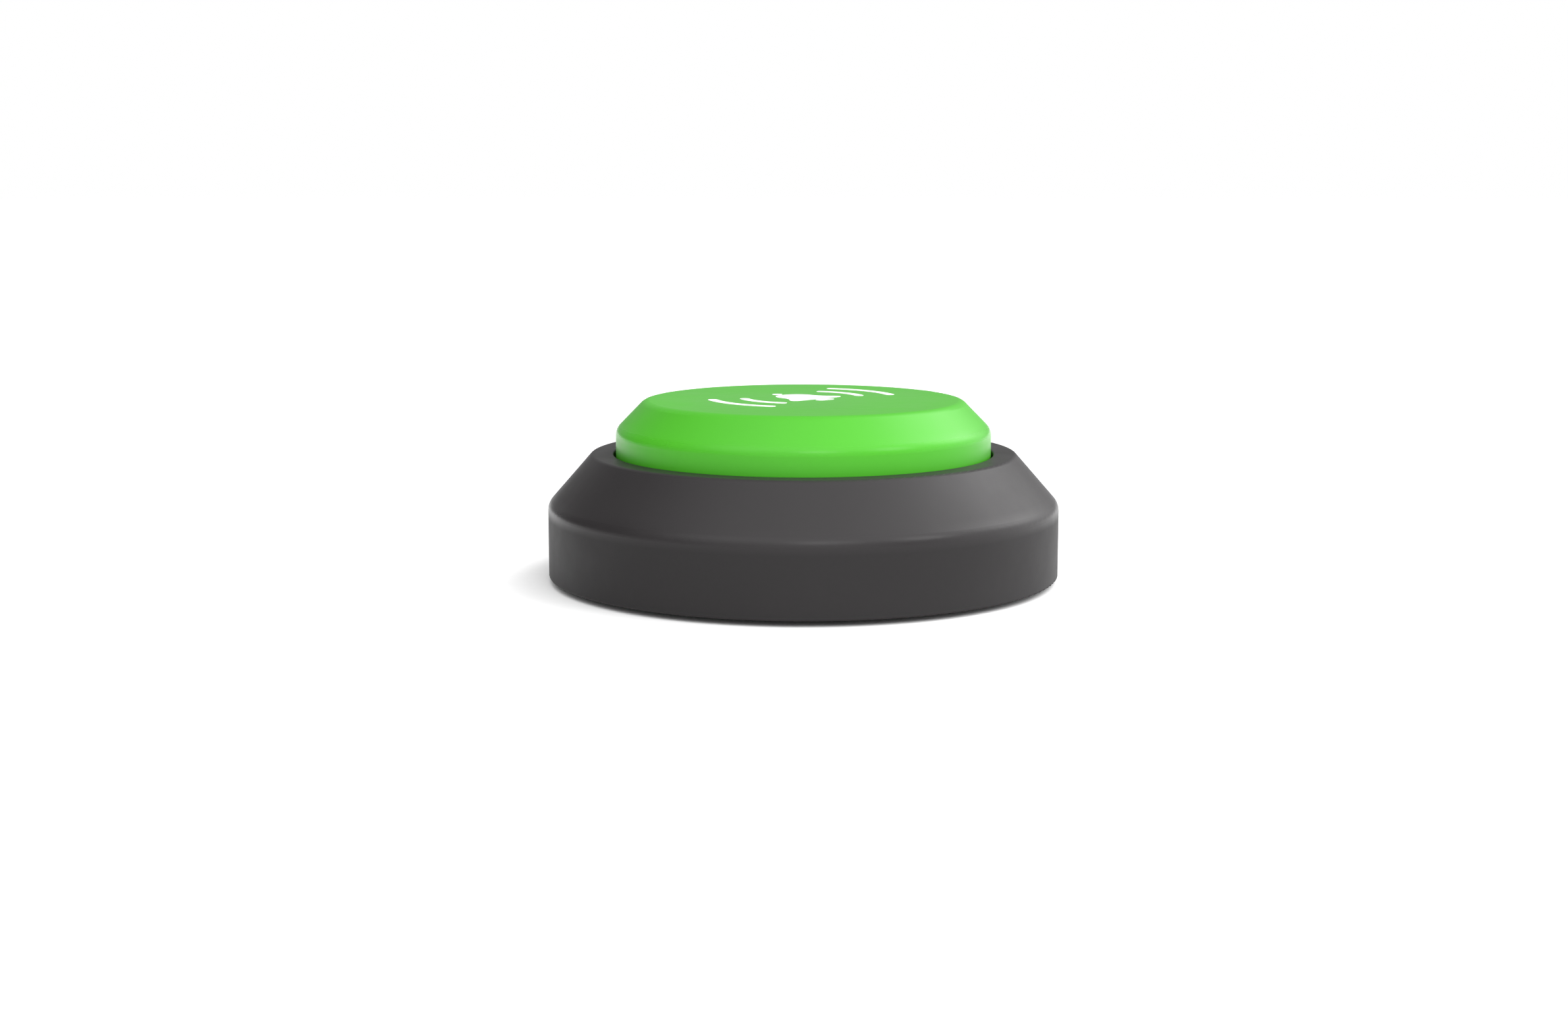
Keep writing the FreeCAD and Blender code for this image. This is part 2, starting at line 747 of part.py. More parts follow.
def cut_countersink(body, name, x):
    """A hole with a cone seat, so that a flat-head screw lies flush."""
    head = f"{x} + door_screw_head_radius + door_seat_gap"
    shank = f"{x} + door_screw_radius + door_seat_gap"
    outline = [
        (x, "cover_z - overcut"),
        (head, "cover_z - overcut"),
        (head, "door_head_z"),
        (shank, "door_head_z + door_screw_head_height"),
        (shank, "door_top_z + overcut"),
        (x, "door_top_z + overcut"),
    ]
    groove = body.newObject("PartDesign::Groove", name)
    sketch = add_sketch(body, name, [polygon(outline)], "XZ_Plane", "0")
    ends = Vector(value(x), 0, 0), Vector(value(x), value("door_top_z"), 0)
    axis = sketch.addGeometry(Part.LineSegment(*ends), True)
    fix_point(sketch, axis, 1, x, "0")
    fix_point(sketch, axis, 2, x, "door_top_z")
    before = solid_volume(body)
    groove.Profile = sketch
    groove.ReferenceAxis = (sketch, ["Axis0"])
    document.recompute()
    if solid_volume(body) >= before:
        raise ValueError(f"{name} cut nothing")


def door_screws():
    """Flat-head screws, captive in the door."""
    body = new_body("door_screws")
    centres = both_sides("door_screw_x", "0")
    heads = [circle(x, y, "door_screw_head_radius") for x, y in centres]
    pad(body, "heads", heads, "door_head_z", "door_screw_head_height", taper=-45.0)
    shanks = [circle(x, y, "door_screw_radius") for x, y in centres]
    pad(body, "shanks", shanks, "door_head_z", "door_screw_tip_z - door_head_z")
    sizes = "door_screw_head_radius", "door_screw_head_height"
    cross_recess(body, centres, *sizes, "door_head_z", heads_up=False)


def door_screw_washers():
    body = new_body("door_screw_washers")
    rings = [
        circle(x, y, radius)
        for x, y in both_sides("door_screw_x", "0")
        for radius in ("washer_radius", "door_screw_radius + thread_gap")
    ]
    pad(body, "washers", rings, "door_top_z", "washer_thickness")


# Cells and contacts --------------------------------------------------------------------------


def battery_cell(name, side):
    """One AAA cell along X. side is 1 at +Y, with its nub at +X, and -1 at -Y, the other way round."""
    body = new_body(name)
    half = "cell_length / 2"
    shoulder = f"{half} - nub_height"
    outline = [
        (f"-({half})", "0"),
        (f"-({half})", "cell_radius - cell_edge"),
        (f"cell_edge - {half}", "cell_radius"),
        (f"{shoulder} - cell_edge", "cell_radius"),
        (shoulder, "cell_radius - cell_edge"),
        (shoulder, "nub_radius"),
        (half, "nub_radius"),
        (half, "0"),
    ]
    revolve(body, "can", outline, axis="H_Axis")
    shift = "contact_x - bump_height - cell_length / 2"
    if side > 0:
        place(body, shift, "cell_y", "cell_z")
    else:
        place(body, opposite(shift), "-cell_y", "cell_z", turn=180.0)


def contact_plate(name, end, centre_y, half_width):
    """A plate against one end wall of the compartment. end is 1 at +X and -1 at -X."""
    plate = document.addObject("Part::Box", name)
    plate.setExpression("Length", bind("contact_thickness"))
    plate.setExpression("Width", bind(f"2 * ({half_width})"))
    plate.setExpression("Height", bind("contact_height"))
    x = "contact_x" if end > 0 else "-box_half_length"
    place(plate, x, f"{centre_y} - ({half_width})", "contact_low_z")
    return plate


def contact_bump(name, end, centre_y):
    """A raised button that meets a cell's nub."""
    bump = document.addObject("Part::Cylinder", name)
    bump.setExpression("Radius", bind("bump_radius"))
    bump.setExpression("Height", bind("bump_height"))
    bump.Placement.Rotation = Rotation(Vector(0, 1, 0), -90.0 * end)
    x = "contact_x" if end > 0 else "-contact_x"
    for letter, expression in zip("xyz", (x, centre_y, "cell_z")):
        bump.setExpression(f"Placement.Base.{letter}", bind(expression))
    return bump


def contact_tab(name, centre_y):
    """A solder tab that comes out through the end wall."""
    tab = document.addObject("Part::Box", name)
    tab.setExpression("Length", bind("tab_length"))
    tab.setExpression("Width", bind("2 * tab_half_width"))
    tab.setExpression("Height", bind("tab_thickness"))
    place(tab, "box_half_length", f"{centre_y} - tab_half_width", "tab_z")
    return tab


def rounded_path(points, share=0.45):
    """Straight runs joined by tangent arcs, each as large as its two runs allow."""
    edges, start = [], points[0]
    for before, corner, after in zip(points, points[1:], points[2:]):
        into, out = (corner - before).normalize(), (after - corner).normalize()
        cut = share * min((corner - before).Length, (after - corner).Length)
        half_turn = into.getAngle(out) / 2
        radius = cut / math.tan(half_turn)
        first, last = corner - into * cut, corner + out * cut
        inward = (out - into).normalize()
        middle = corner + inward * (radius / math.cos(half_turn) - radius)
        edges.append(Part.LineSegment(start, first).toShape())
        edges.append(Part.Arc(first, middle, last).toShape())
        start = last
    edges.append(Part.LineSegment(start, points[-1]).toShape())
    return Part.Wire(edges)


def sweep_wire(points, radius):
    """A round wire along a rounded route, whose volume has to be its section times its length."""
    path = rounded_path(points)
    section = Part.Wire(Part.makeCircle(radius, points[0], points[1] - points[0]))
    solid = path.makePipeShell([section], True, True)
    expected = math.pi * radius**2 * path.Length
    if abs(solid.Volume - expected) > 0.01 * expected:
        raise ValueError(f"a wire's volume is {solid.Volume} in place of {expected}")
    return solid


def coil(wide, narrow, height, turns, wire):
    """A coil spring round Z, whose radius may narrow. The wire's middle runs from z 0 to height."""
    corners_per_turn = 8
    count = corners_per_turn * round(turns)
    corner_stands_out = 1 / math.cos(math.pi / corners_per_turn)

    def on_helix(share, outward=1):
        angle = 2 * math.pi * turns * share
        across = (wide + (narrow - wide) * share) * outward
        return Vector(across * math.cos(angle), across * math.sin(angle), height * share)

    corners = [on_helix((number + 0.5) / count, corner_stands_out) for number in range(count)]
    return sweep_wire([on_helix(0), *corners, on_helix(1)], wire)


def contact_spring(name, end, centre_y):
    """A cone-shaped coil from the plate to the flat end of a cell."""
    wire = value("contact_spring_wire")
    room = value("2 * contact_x - bump_height - cell_length")
    spring = document.addObject("Part::Feature", name)
    spring.Shape = coil(
        value("contact_spring_wide"),
        value("contact_spring_narrow"),
        room - 2 * wire,
        value("contact_spring_turns"),
        wire,
    )
    foot = Vector(end * (value("contact_x") - wire), value(centre_y), value("cell_z"))
    spring.Placement = FreeCAD.Placement(foot, Rotation(Vector(0, 1, 0), -90.0 * end))
    return spring


def join(name, pieces):
    """One solid of pieces that meet face to face."""
    fused = document.addObject("Part::MultiFuse", name)
    fused.Shapes = pieces
    document.recompute()
    return fused


def group(name, pieces):
    """One node of separate solids."""
    compound = document.addObject("Part::Compound", name)
    compound.Label = name
    compound.Links = pieces
    document.recompute()
    nodes.append(compound)


def battery_contacts():
    """The nub of each cell meets a bump, and its flat end meets a spring."""
    button = [
        contact_plate("button_plate", 1, "cell_y", "contact_half_width"),
        contact_bump("button_bump", 1, "cell_y"),
        contact_tab("button_tab", "cell_y"),
    ]
    group("battery_button_contact", [join("button_plate_joined", button)])
    plate = [
        contact_plate("spring_plate", 1, "-cell_y", "contact_half_width"),
        contact_tab("spring_tab", "-cell_y"),
    ]
    end_coil = contact_spring("end_coil", 1, "-cell_y")
    group("battery_spring_contact", [join("spring_plate_joined", plate), end_coil])
    bridge = [
        contact_plate("bridge_plate", -1, "0", "cell_y + contact_half_width"),
        contact_bump("bridge_bump", -1, "-cell_y"),
    ]
    bridge_coil = contact_spring("bridge_coil", -1, "cell_y")
    group("battery_bridge_contact", [join("bridge_plate_joined", bridge), bridge_coil])


# Deck, board and press switch ----------------------------------------------------------------


def inner_deck():
    body = new_body("inner_deck")
    pad(body, "disc", [circle("0", "0", "deck_radius")], "deck_z", "deck_thickness")
    board_places = corners("board_screw_x", "board_screw_y")
    posts = [circle(x, y, "board_post_radius") for x, y in board_places]
    pad(body, "board_posts", posts, "deck_top_z", "board_lift")
    seat = circle("0", "spring_circle_radius", "spring_post_radius")
    spring_post = pad(body, "spring_post", [seat], "deck_top_z", "spring_post_height")
    around(body, "spring_posts", [spring_post], 3)
    deck_places = corners("deck_screw_x", "deck_screw_y")
    openings = [circle(x, y, "deck_screw_radius + through_gap") for x, y in deck_places]
    for sign in ("", "-"):
        openings.append(rectangle("0", sign + "window_y", "window_half_width", "window_half_depth"))
        middle = f"{sign}(deck_radius + overcut + notch_x) / 2"
        half = "(deck_radius + overcut - notch_x) / 2"
        openings.append(rectangle(middle, "0", half, "notch_half_width"))
    pocket(body, "openings", openings, "deck_z", "deck_thickness")
    pilots = [circle(x, y, "board_screw_radius + thread_gap") for x, y in board_places]
    pocket(body, "board_pilots", pilots, "deck_z", "deck_thickness + board_lift")


def circuit_board():
    body = new_body("circuit_board")
    plate = rectangle("0", "0", "board_half_length", "board_half_width")
    pad(body, "plate", [plate], "board_z", "board_thickness")
    fillet(body, "corners", "board_corner", upright)
    places = corners("board_screw_x", "board_screw_y")
    holes = [circle(x, y, "board_screw_radius + through_gap") for x, y in places]
    pocket(body, "holes", holes, "board_z", "board_thickness")


def press_switch():
    block = rectangle("0", "0", "press_switch_half", "press_switch_half")
    body = new_body("press_switch_body")
    pad(body, "block", [block], "board_top_z", "press_switch_height")
    fillet(body, "corners", "small_fillet", upright)
    well = circle("0", "0", "plunger_flange_radius + plunger_gap")
    depth = "press_switch_height - press_switch_floor"
    pocket(body, "well", [well], "lid_z", depth, up=False)

    lid = new_body("press_switch_lid")
    pad(lid, "plate", [block], "lid_z", "press_switch_lid")
    pocket(lid, "hole", [circle("0", "0", "plunger_radius + plunger_gap")], "lid_z", "press_switch_lid")

    plunger = new_body("press_switch_plunger")
    outline = [
        ("0", "plunger_z"),
        ("plunger_flange_radius", "plunger_z"),
        ("plunger_flange_radius", "plunger_z + plunger_flange_height"),
        ("plunger_radius", "plunger_z + plunger_flange_height"),
        ("plunger_radius", "plunger_top_z"),
        ("0", "plunger_top_z"),
    ]
    revolve(plunger, "stem", outline)
    fillet(plunger, "tip", "small_fillet", ring_edge("plunger_radius", "plunger_top_z"))

    legs = new_body("press_switch_legs")
    outlines = []
    for sign in ("", "-"):
        inner, outer = f"{sign}press_switch_half", f"{sign}(press_switch_half + leg_reach)"
        bend = f"{sign}(press_switch_half + leg_thickness)"
        outline = [
            (inner, "board_top_z + leg_height"),
            (bend, "board_top_z + leg_height"),
            (bend, "board_top_z + leg_thickness"),
            (outer, "board_top_z + leg_thickness"),
            (outer, "board_top_z"),
            (inner, "board_top_z"),
        ]
        outlines.append(polygon(outline))
    for name, y in (("front_row", "leg_y"), ("back_row", "-leg_y")):
        pad(legs, name, outlines, y, "leg_width", plane="XZ_Plane", symmetric=True)


def board_components():
    chip = new_body("sound_chip")
    dome = [(f"chip_radius * cos({turn})", f"chip_height * sin({turn})") for turn in range(0, 90, 15)]
    revolve(chip, "blob", [("0", "0"), *dome, ("0", "chip_height")])
    place(chip, "chip_x", "0", "board_top_z")

    capacitor = new_body("board_capacitor")
    half = "capacitor_radius + capacitor_base_margin"
    pad(capacitor, "base", [rectangle("0", "0", half, half)], "0", "capacitor_base_height")
    can = circle("0", "0", "capacitor_radius")
    height = "capacitor_height - capacitor_base_height"
    pad(capacitor, "can", [can], "capacitor_base_height", height)
    fillet(capacitor, "can_edge", "small_fillet", ring_edge("capacitor_radius", "capacitor_height"))
    place(capacitor, "capacitor_x", "capacitor_y", "board_top_z")

    transistor = new_body("board_transistor")
    case = rectangle("0", "0", "transistor_half_length", "transistor_half_width")
    pad(transistor, "case", [case], "0", "transistor_height")
    leads = []
    for x, side in (("-transistor_lead_x", "-"), ("transistor_lead_x", "-"), ("0", "")):
        y = f"{side}(transistor_lead_reach / 2)"
        leads.append(rectangle(x, y, "transistor_lead_half_width", "transistor_lead_reach / 2"))
    pad(transistor, "leads", leads, "0", "transistor_lead_height")
    place(transistor, "transistor_x", "transistor_y", "board_top_z")

    resistors = new_body("board_resistors")
    places = [(f"resistor_x + {step} * resistor_pitch", "resistor_y") for step in (-1, 0, 1)]
    places += [(f"resistor_x + {step} * resistor_pitch", "-resistor_y") for step in (0, 1)]
    chips = [rectangle(x, y, "resistor_half_width", "resistor_half_length") for x, y in places]
    pad(resistors, "chips", chips, "board_top_z", "resistor_height")


def deck_and_board_screws():
    screws("deck_screws", "deck_screw", corners("deck_screw_x", "deck_screw_y"), "deck_top_z")
    screws("board_screws", "board_screw", corners("board_screw_x", "board_screw_y"), "board_top_z")


# Speaker -------------------------------------------------------------------------------------


def diaphragm_outline():
    """A shallow cone inside a rolled edge, as thick as the film."""
    under = []
    for step in range(8):
        share = step / 8
        under.append((f"{share} * cone_radius", f"film_z + cone_rise * {1 - share ** 2}"))
    for step in range(7):
        across = f"cone_radius + {step / 6} * (roll_radius - cone_radius)"
        under.append((across, f"film_z + roll_rise * sin({30 * step})"))
    under.append(("film_radius", "film_z"))
    over = [(radius, f"{height} + film_thickness") for radius, height in reversed(under)]
    return under + over


def speaker():
    """The speaker's pieces, each turned about its own axis with z 0 on the cover's inner face."""
    ring, coil_half = "speaker_ring_radius", "voice_coil_thickness / 2"
    coil_top = "voice_coil_z + voice_coil_height"
    sheet_under, yoke_top = "basket_height - basket_sheet", "magnet_top + yoke_plate"
    outlines = {
        "speaker_gasket": [
            (ring, "0"),
            ("speaker_radius", "0"),
            ("speaker_radius", "gasket_thickness"),
            (ring, "gasket_thickness"),
        ],
        "speaker_diaphragm": diaphragm_outline(),
        "speaker_basket": [
            (ring, "basket_z + roll_rise"),
            (ring, "basket_z"),
            ("speaker_radius", "basket_z"),
            ("speaker_radius", "basket_ring_top"),
            (f"{ring} + basket_sheet", "basket_ring_top"),
            ("basket_shoulder_radius + basket_sheet / 2", "basket_height"),
            ("basket_hole_radius", "basket_height"),
            ("basket_hole_radius", sheet_under),
            ("basket_shoulder_radius - basket_sheet / 2", sheet_under),
        ],
        "speaker_voice_coil": [
            (f"voice_coil_radius - {coil_half}", "voice_coil_z"),
            (f"voice_coil_radius + {coil_half}", "voice_coil_z"),
            (f"voice_coil_radius + {coil_half}", coil_top),
            (f"voice_coil_radius - {coil_half}", coil_top),
        ],
        "speaker_magnet": [
            ("0", "basket_height"),
            ("magnet_radius", "basket_height"),
            ("magnet_radius", "magnet_top"),
            ("0", "magnet_top"),
        ],
        "speaker_yoke": [
            ("yoke_bore_radius", "basket_height"),
            ("yoke_radius", "basket_height"),
            ("yoke_radius", yoke_top),
            ("0", yoke_top),
            ("0", "magnet_top"),
            ("yoke_bore_radius", "magnet_top"),
        ],
    }
    for name, outline in outlines.items():
        body = new_body(name)
        revolve(body, "turned", outline)
        if name == "speaker_basket":
            vent = circle("vent_offset", "vent_offset", "vent_radius")
            vents = pocket(body, "vent", [vent], "basket_height", "basket_height", up=False)
            around(body, "vents", [vents], 4)
        if name == "speaker_yoke":
            fillet(body, "yoke_edge", "small_fillet", ring_edge("yoke_radius", yoke_top))
        place(body, "0", "speaker_y", "cover_top_z")

    terminals = new_body("speaker_terminals")
    strip = rectangle("0", "terminal_y", "terminal_half_length", "terminal_half_width")
    pad(terminals, "strip", [strip], "basket_height", "terminal_thickness")
    place(terminals, "0", "speaker_y", "cover_top_z")

    places = both_sides("speaker_screw_x", "speaker_y")
    screws("speaker_screws", "speaker_screw", places, "speaker_seat_z", "small_screw_radius")


# Power switch --------------------------------------------------------------------------------


def power_switch():
    """A slide switch on a steel bracket. Local z 0 is the bracket's underside."""
    bracket = new_body("power_switch_bracket")
    plate = rectangle("0", "0", "power_bracket_half_length", "power_bracket_half_width")
    pad(bracket, "plate", [plate], "0", "power_bracket_thickness")
    fillet(bracket, "ends", "power_bracket_corner", upright)
    slot = rectangle("0", "0", "power_slot_half_length", "power_slot_half_width")
    places = both_sides("power_screw_x", "0")
    holes = [circle(x, y, "small_screw_radius + through_gap") for x, y in places]
    pocket(bracket, "openings", [slot, *holes], "0", "power_bracket_thickness")

    body = new_body("power_switch_body")
    block = rectangle("0", "0", "power_body_half_length", "power_body_half_width")
    pad(body, "block", [block], "power_bracket_thickness", "power_body_height")
    half_length = "power_knob_travel / 2 + power_slider_half_length + power_gap"
    well = rectangle("0", "0", half_length, "power_slider_half_width + power_gap")
    pocket(body, "well", [well], "power_bracket_thickness", "power_well_height")

    terminals = new_body("power_switch_terminals")
    pins = [
        rectangle(x, "0", "power_pin_half_width", "power_pin_half_thickness")
        for x in ("-power_pin_x", "0", "power_pin_x")
    ]
    foot = "power_bracket_thickness + power_body_height"
    pad(terminals, "pins", pins, foot, "power_pin_height")

    # the knob stands at the off end of its travel
    knob = new_body("power_switch_knob")
    off = "-(power_knob_travel / 2)"
    slider = rectangle(off, "0", "power_slider_half_length", "power_slider_half_width")
    slider_z = "power_bracket_thickness + running_gap"
    pad(knob, "slider", [slider], slider_z, "power_slider_height")
    stem = rectangle(off, "0", "power_stem_half_length", "power_stem_half_width")
    tip = "power_knob_tip_z - power_bracket_z"
    pad(knob, "stem", [stem], tip, f"{slider_z} + embed - ({tip})")
    ridges = [
        rectangle(f"{off} + {side} * knob_ridge_x", "0", "knob_ridge_half_width", "power_stem_half_width")
        for side in (-1, 1)
    ]
    pocket(knob, "ridges", ridges, tip, "knob_ridge_depth")

    for piece in (bracket, body, terminals, knob):
        place(piece, "0", "power_y", "power_bracket_z")
    places = both_sides("power_screw_x", "power_y")
    screws("power_switch_screws", "power_screw", places, "power_body_z", "small_screw_radius")


# Button --------------------------------------------------------------------------------------


def button_cap():
    body = new_body("button_cap")
    outline = [
        ("0", "cap_under_z"),
        ("cap_top_inner_radius", "cap_under_z"),
        ("cap_inner_radius", "cap_shoulder_inner_z"),
        ("cap_inner_radius", "flange_z"),
        ("flange_radius", "flange_z"),
        ("flange_radius", "flange_top_z"),
        ("cap_radius", "flange_top_z"),
        ("cap_radius", "cap_shoulder_z"),
        ("cap_top_radius", "cap_top_z"),
        ("0", "cap_top_z"),
    ]
    revolve(body, "shell", outline)
    fillet(body, "top_round", "cap_top_fillet", ring_edge("cap_top_radius", "cap_top_z"))
    fillet(body, "shoulder_round", "cap_shoulder_fillet", ring_edge("cap_radius", "cap_shoulder_z"))
    # notches that run on the housing's guide ribs
    notch = rectangle(
        "0",
        "-(flange_radius + overcut + notch_radius) / 2",
        "guide_rib_width / 2 + guide_gap",
        "(flange_radius + overcut - notch_radius) / 2",
    )
    notches = pocket(body, "notch", [notch], "flange_z", "flange_height")
    around(body, "notches", [notches], 3)
    # a ribbed underside, with the actuator in the middle
    rib = rectangle("cap_rib_length / 2", "0", "cap_rib_length / 2", "cap_rib_width / 2")
    ribs = pad(body, "rib", [rib], "cap_under_z - cap_rib_height", "cap_rib_height + embed")
    around(body, "ribs", [ribs], 6)
    rows = (
        ("actuator", "0", "actuator_radius", "actuator_tip_z"),
        ("stop_post", "-spring_circle_radius", "stop_post_radius", "stop_post_z"),
        ("spring_boss", "spring_circle_radius", "spring_post_radius", "cap_under_z - spring_boss_height"),
    )
    for name, y, radius, low in rows:
        post = pad(body, name, [circle("0", y, radius)], low, f"cap_under_z + embed - ({low})")
        if y != "0":
            around(body, name + "s", [post], 3)


def return_springs():
    """Three coil springs between the deck and the cap."""
    wire = value("spring_wire_radius")
    radius, across = value("spring_radius"), value("spring_circle_radius")
    height = value("cap_under_z - deck_top_z") - 2 * wire
    shape = coil(radius, radius, height, value("spring_turns"), wire)
    springs = []
    for angle in (90, 210, 330):
        spring = document.addObject("Part::Feature", f"spring_at_{angle}")
        spring.Shape = shape.copy()
        turn = Rotation(AXIS_Z, angle)
        foot = turn.multVec(Vector(across, 0, 0)) + Vector(0, 0, value("deck_top_z") + wire)
        spring.Placement = FreeCAD.Placement(foot, turn)
        springs.append(spring)
    group("return_springs", springs)


# Wires ---------------------------------------------------------------------------------------


def wire_solid(name, places):
    points = [Vector(*(value(part) for part in place)) for place in places]
    piece = document.addObject("Part::Feature", name)
    piece.Shape = sweep_wire(points, value("wire_radius"))
    return piece


def battery_wire(name, y):
    """From a contact's tab, up through the deck's notch and over to the board."""
    tab_x, lane = "box_half_length + tab_length - tab_thickness - 0.3", f"0.7 * ({y})"
    pad_x = "board_half_length - solder_margin"
    return wire_solid(
        name,
        [
            (tab_x, y, "tab_z + tab_thickness"),
            (tab_x, y, "deck_top_z + 1.5"),
            ("box_half_length - 1", f"0.9 * ({y})", "wire_z"),
            ("board_half_length + 2.5", lane, "wire_z"),
            (pad_x, lane, "wire_z - wire_dip"),
            (pad_x, lane, "board_top_z"),
        ],
    )


def board_wire(name, x, start, side):
    """From start, up through the deck's front or back window, to the board's edge."""
    pad_y = f"{side}(board_half_width - solder_margin)"
    through = [
        (x, f"{side}16.7", "deck_z - 1.2"),
        (x, f"{side}16.7", "board_z + 1"),
        (x, f"{side}14.4", "wire_z"),
        (x, pad_y, "wire_z"),
        (x, pad_y, "board_top_z"),
    ]
    return wire_solid(name, start + through)


def wires():
    group("battery_wire_red", [battery_wire("red_tube", "cell_y")])
    group("battery_wire_black", [battery_wire("black_tube", "-cell_y")])
    pair = []
    for number, x in enumerate(("-2", "2")):
        y, foot = "speaker_y + terminal_y", "cover_top_z + basket_height + terminal_thickness"
        start = [(x, y, foot), (x, y, f"{foot} + 4.2")]
        pair.append(board_wire(f"speaker_wire_{number}", x, start, "-"))
    group("speaker_wires", pair)
    pair = []
    for number, x in enumerate(("0", "power_pin_x")):
        height = "power_body_z + power_body_height + power_pin_height - 1.1"
        start = [(x, "power_y - power_pin_half_thickness", height), (x, "power_y - 3", height)]
        pair.append(board_wire(f"switch_wire_{number}", x, start, ""))
    group("switch_wires", pair)


# Build, check and write ----------------------------------------------------------------------


def check_document():
    document.recompute()
    for item in document.Objects:
        if "Invalid" in item.State or "Error" in item.State:
            raise ValueError(f"{item.Label} is {item.State}")
    for node in nodes:
        if node.Shape.isNull() or not node.Shape.isValid() or not node.Shape.Solids:
            raise ValueError(f"{node.Label} has no valid solid")


def write_parts():
    os.makedirs("parts", exist_ok=True)
    for node in nodes:
        node.Shape.exportStep(f"parts/{node.Label}.step")
        print(node.Label, len(node.Shape.Solids), round(node.Shape.Volume, 1))


base_housing()
bottom_cover()
rubber_feet()
cover_screws()
battery_door()
door_screws()
door_screw_washers()
battery_cell("battery_cell_back", 1)
battery_cell("battery_cell_front", -1)
battery_contacts()
inner_deck()
circuit_board()
press_switch()
board_components()
deck_and_board_screws()
speaker()
power_switch()
button_cap()
return_springs()
wires()
check_document()
write_parts()
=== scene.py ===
import json
import math

import bmesh
import bpy
from mathutils import Matrix, Vector
from mathutils.geometry import interpolate_bezier


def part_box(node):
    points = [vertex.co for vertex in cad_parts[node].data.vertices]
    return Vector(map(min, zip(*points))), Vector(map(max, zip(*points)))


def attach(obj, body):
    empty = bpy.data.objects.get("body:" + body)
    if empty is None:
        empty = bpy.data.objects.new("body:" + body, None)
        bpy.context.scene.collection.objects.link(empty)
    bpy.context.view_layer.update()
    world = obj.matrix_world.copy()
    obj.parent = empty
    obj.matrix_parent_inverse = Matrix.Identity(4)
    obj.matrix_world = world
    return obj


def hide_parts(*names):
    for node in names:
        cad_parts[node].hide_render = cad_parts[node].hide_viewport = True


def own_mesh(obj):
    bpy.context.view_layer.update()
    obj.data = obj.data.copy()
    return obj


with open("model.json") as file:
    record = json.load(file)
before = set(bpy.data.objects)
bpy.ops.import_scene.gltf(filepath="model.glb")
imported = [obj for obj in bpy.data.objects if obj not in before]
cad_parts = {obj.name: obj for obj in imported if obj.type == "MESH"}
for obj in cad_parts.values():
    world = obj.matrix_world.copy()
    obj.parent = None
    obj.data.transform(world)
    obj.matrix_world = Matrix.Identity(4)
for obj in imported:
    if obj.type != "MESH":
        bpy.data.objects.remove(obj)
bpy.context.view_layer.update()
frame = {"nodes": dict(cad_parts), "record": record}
MM = 0.001
# The heights where the wall of the base and the side of the cap turn into their chamfers.
SHOULDER_Z = 13.6 * MM
CAP_SHOULDER_Z = 26.6 * MM


# Pieces --------------------------------------------------------------------------------------


def new_piece(name, body=None, material=None):
    piece = bpy.data.objects.new(name, bpy.data.meshes.new(name))
    bpy.context.collection.objects.link(piece)
    if body:
        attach(piece, body)
    if material:
        piece.data.materials.append(material)
    return piece


def fill_piece(piece, mesh, smooth=True):
    bmesh.ops.recalc_face_normals(mesh, faces=mesh.faces)
    for face in mesh.faces:
        face.smooth = smooth
    mesh.to_mesh(piece.data)
    mesh.free()


def add_rings(mesh, rings, closed=False):
    """Faces from each ring of corners to the next. The ends are capped unless the rings close up."""
    made = [[mesh.verts.new(corner) for corner in ring] for ring in rings]
    pairs = zip(made, made[1:] + made[:1] if closed else made[1:])
    for first, second in pairs:
        for number, corner in enumerate(first):
            after = (number + 1) % len(first)
            mesh.faces.new((corner, first[after], second[after], second[number]))
    if not closed:
        mesh.faces.new(made[0])
        mesh.faces.new(made[-1])


def add_lathe(mesh, centre, outline, steps=32):
    """Turns an outline of radius and height round a vertical axis through centre."""
    rings = []
    for radius, height in outline:
        turns = (2 * math.pi * step / steps for step in range(steps))
        rings.append(
            [centre + Vector((radius * math.cos(t), radius * math.sin(t), height)) for t in turns]
        )
    add_rings(mesh, rings)


def add_tube(mesh, line, radius, sides=12):
    """A round wire along a line of points."""
    rings = []
    for number, point in enumerate(line):
        before, after = line[max(number - 1, 0)], line[min(number + 1, len(line) - 1)]
        along = (after - before).normalized()
        across = along.cross(Vector((0, 0, 1))).normalized()
        up = across.cross(along)
        turns = (2 * math.pi * side / sides for side in range(sides))
        rings.append([point + (across * math.cos(t) + up * math.sin(t)) * radius for t in turns])
    add_rings(mesh, rings)


ROUND_END = (30, 55, 75)  # the corners of a stroke's end, in degrees round it


def add_stroke(mesh, line, half_width, low, high, closed=False):
    """A flat stroke between two heights along a line, with round ends unless the line is closed."""
    stations = []
    for number, point in enumerate(line):
        before = line[number - 1] if number or closed else point
        after = line[(number + 1) % len(line)] if number + 1 < len(line) or closed else point
        along = (after - before).normalized()
        stations.append((point, along, half_width))
    if not closed:
        for place, sign in ((0, -1), (-1, 1)):
            point, along, reach = stations[place]
            for degrees in ROUND_END:
                angle = math.radians(degrees)
                further = point + along * sign * reach * math.sin(angle)
                rounded = (further, along, reach * math.cos(angle))
                stations.insert(0 if sign < 0 else len(stations), rounded)
    rings = []
    for point, along, reach in stations:
        side = Vector((-along.y, along.x)) * reach
        left, right = point + side, point - side
        corners = ((left, low), (right, low), (right, high), (left, high))
        rings.append([Vector((corner.x, corner.y, height)) for corner, height in corners])
    add_rings(mesh, rings, closed)


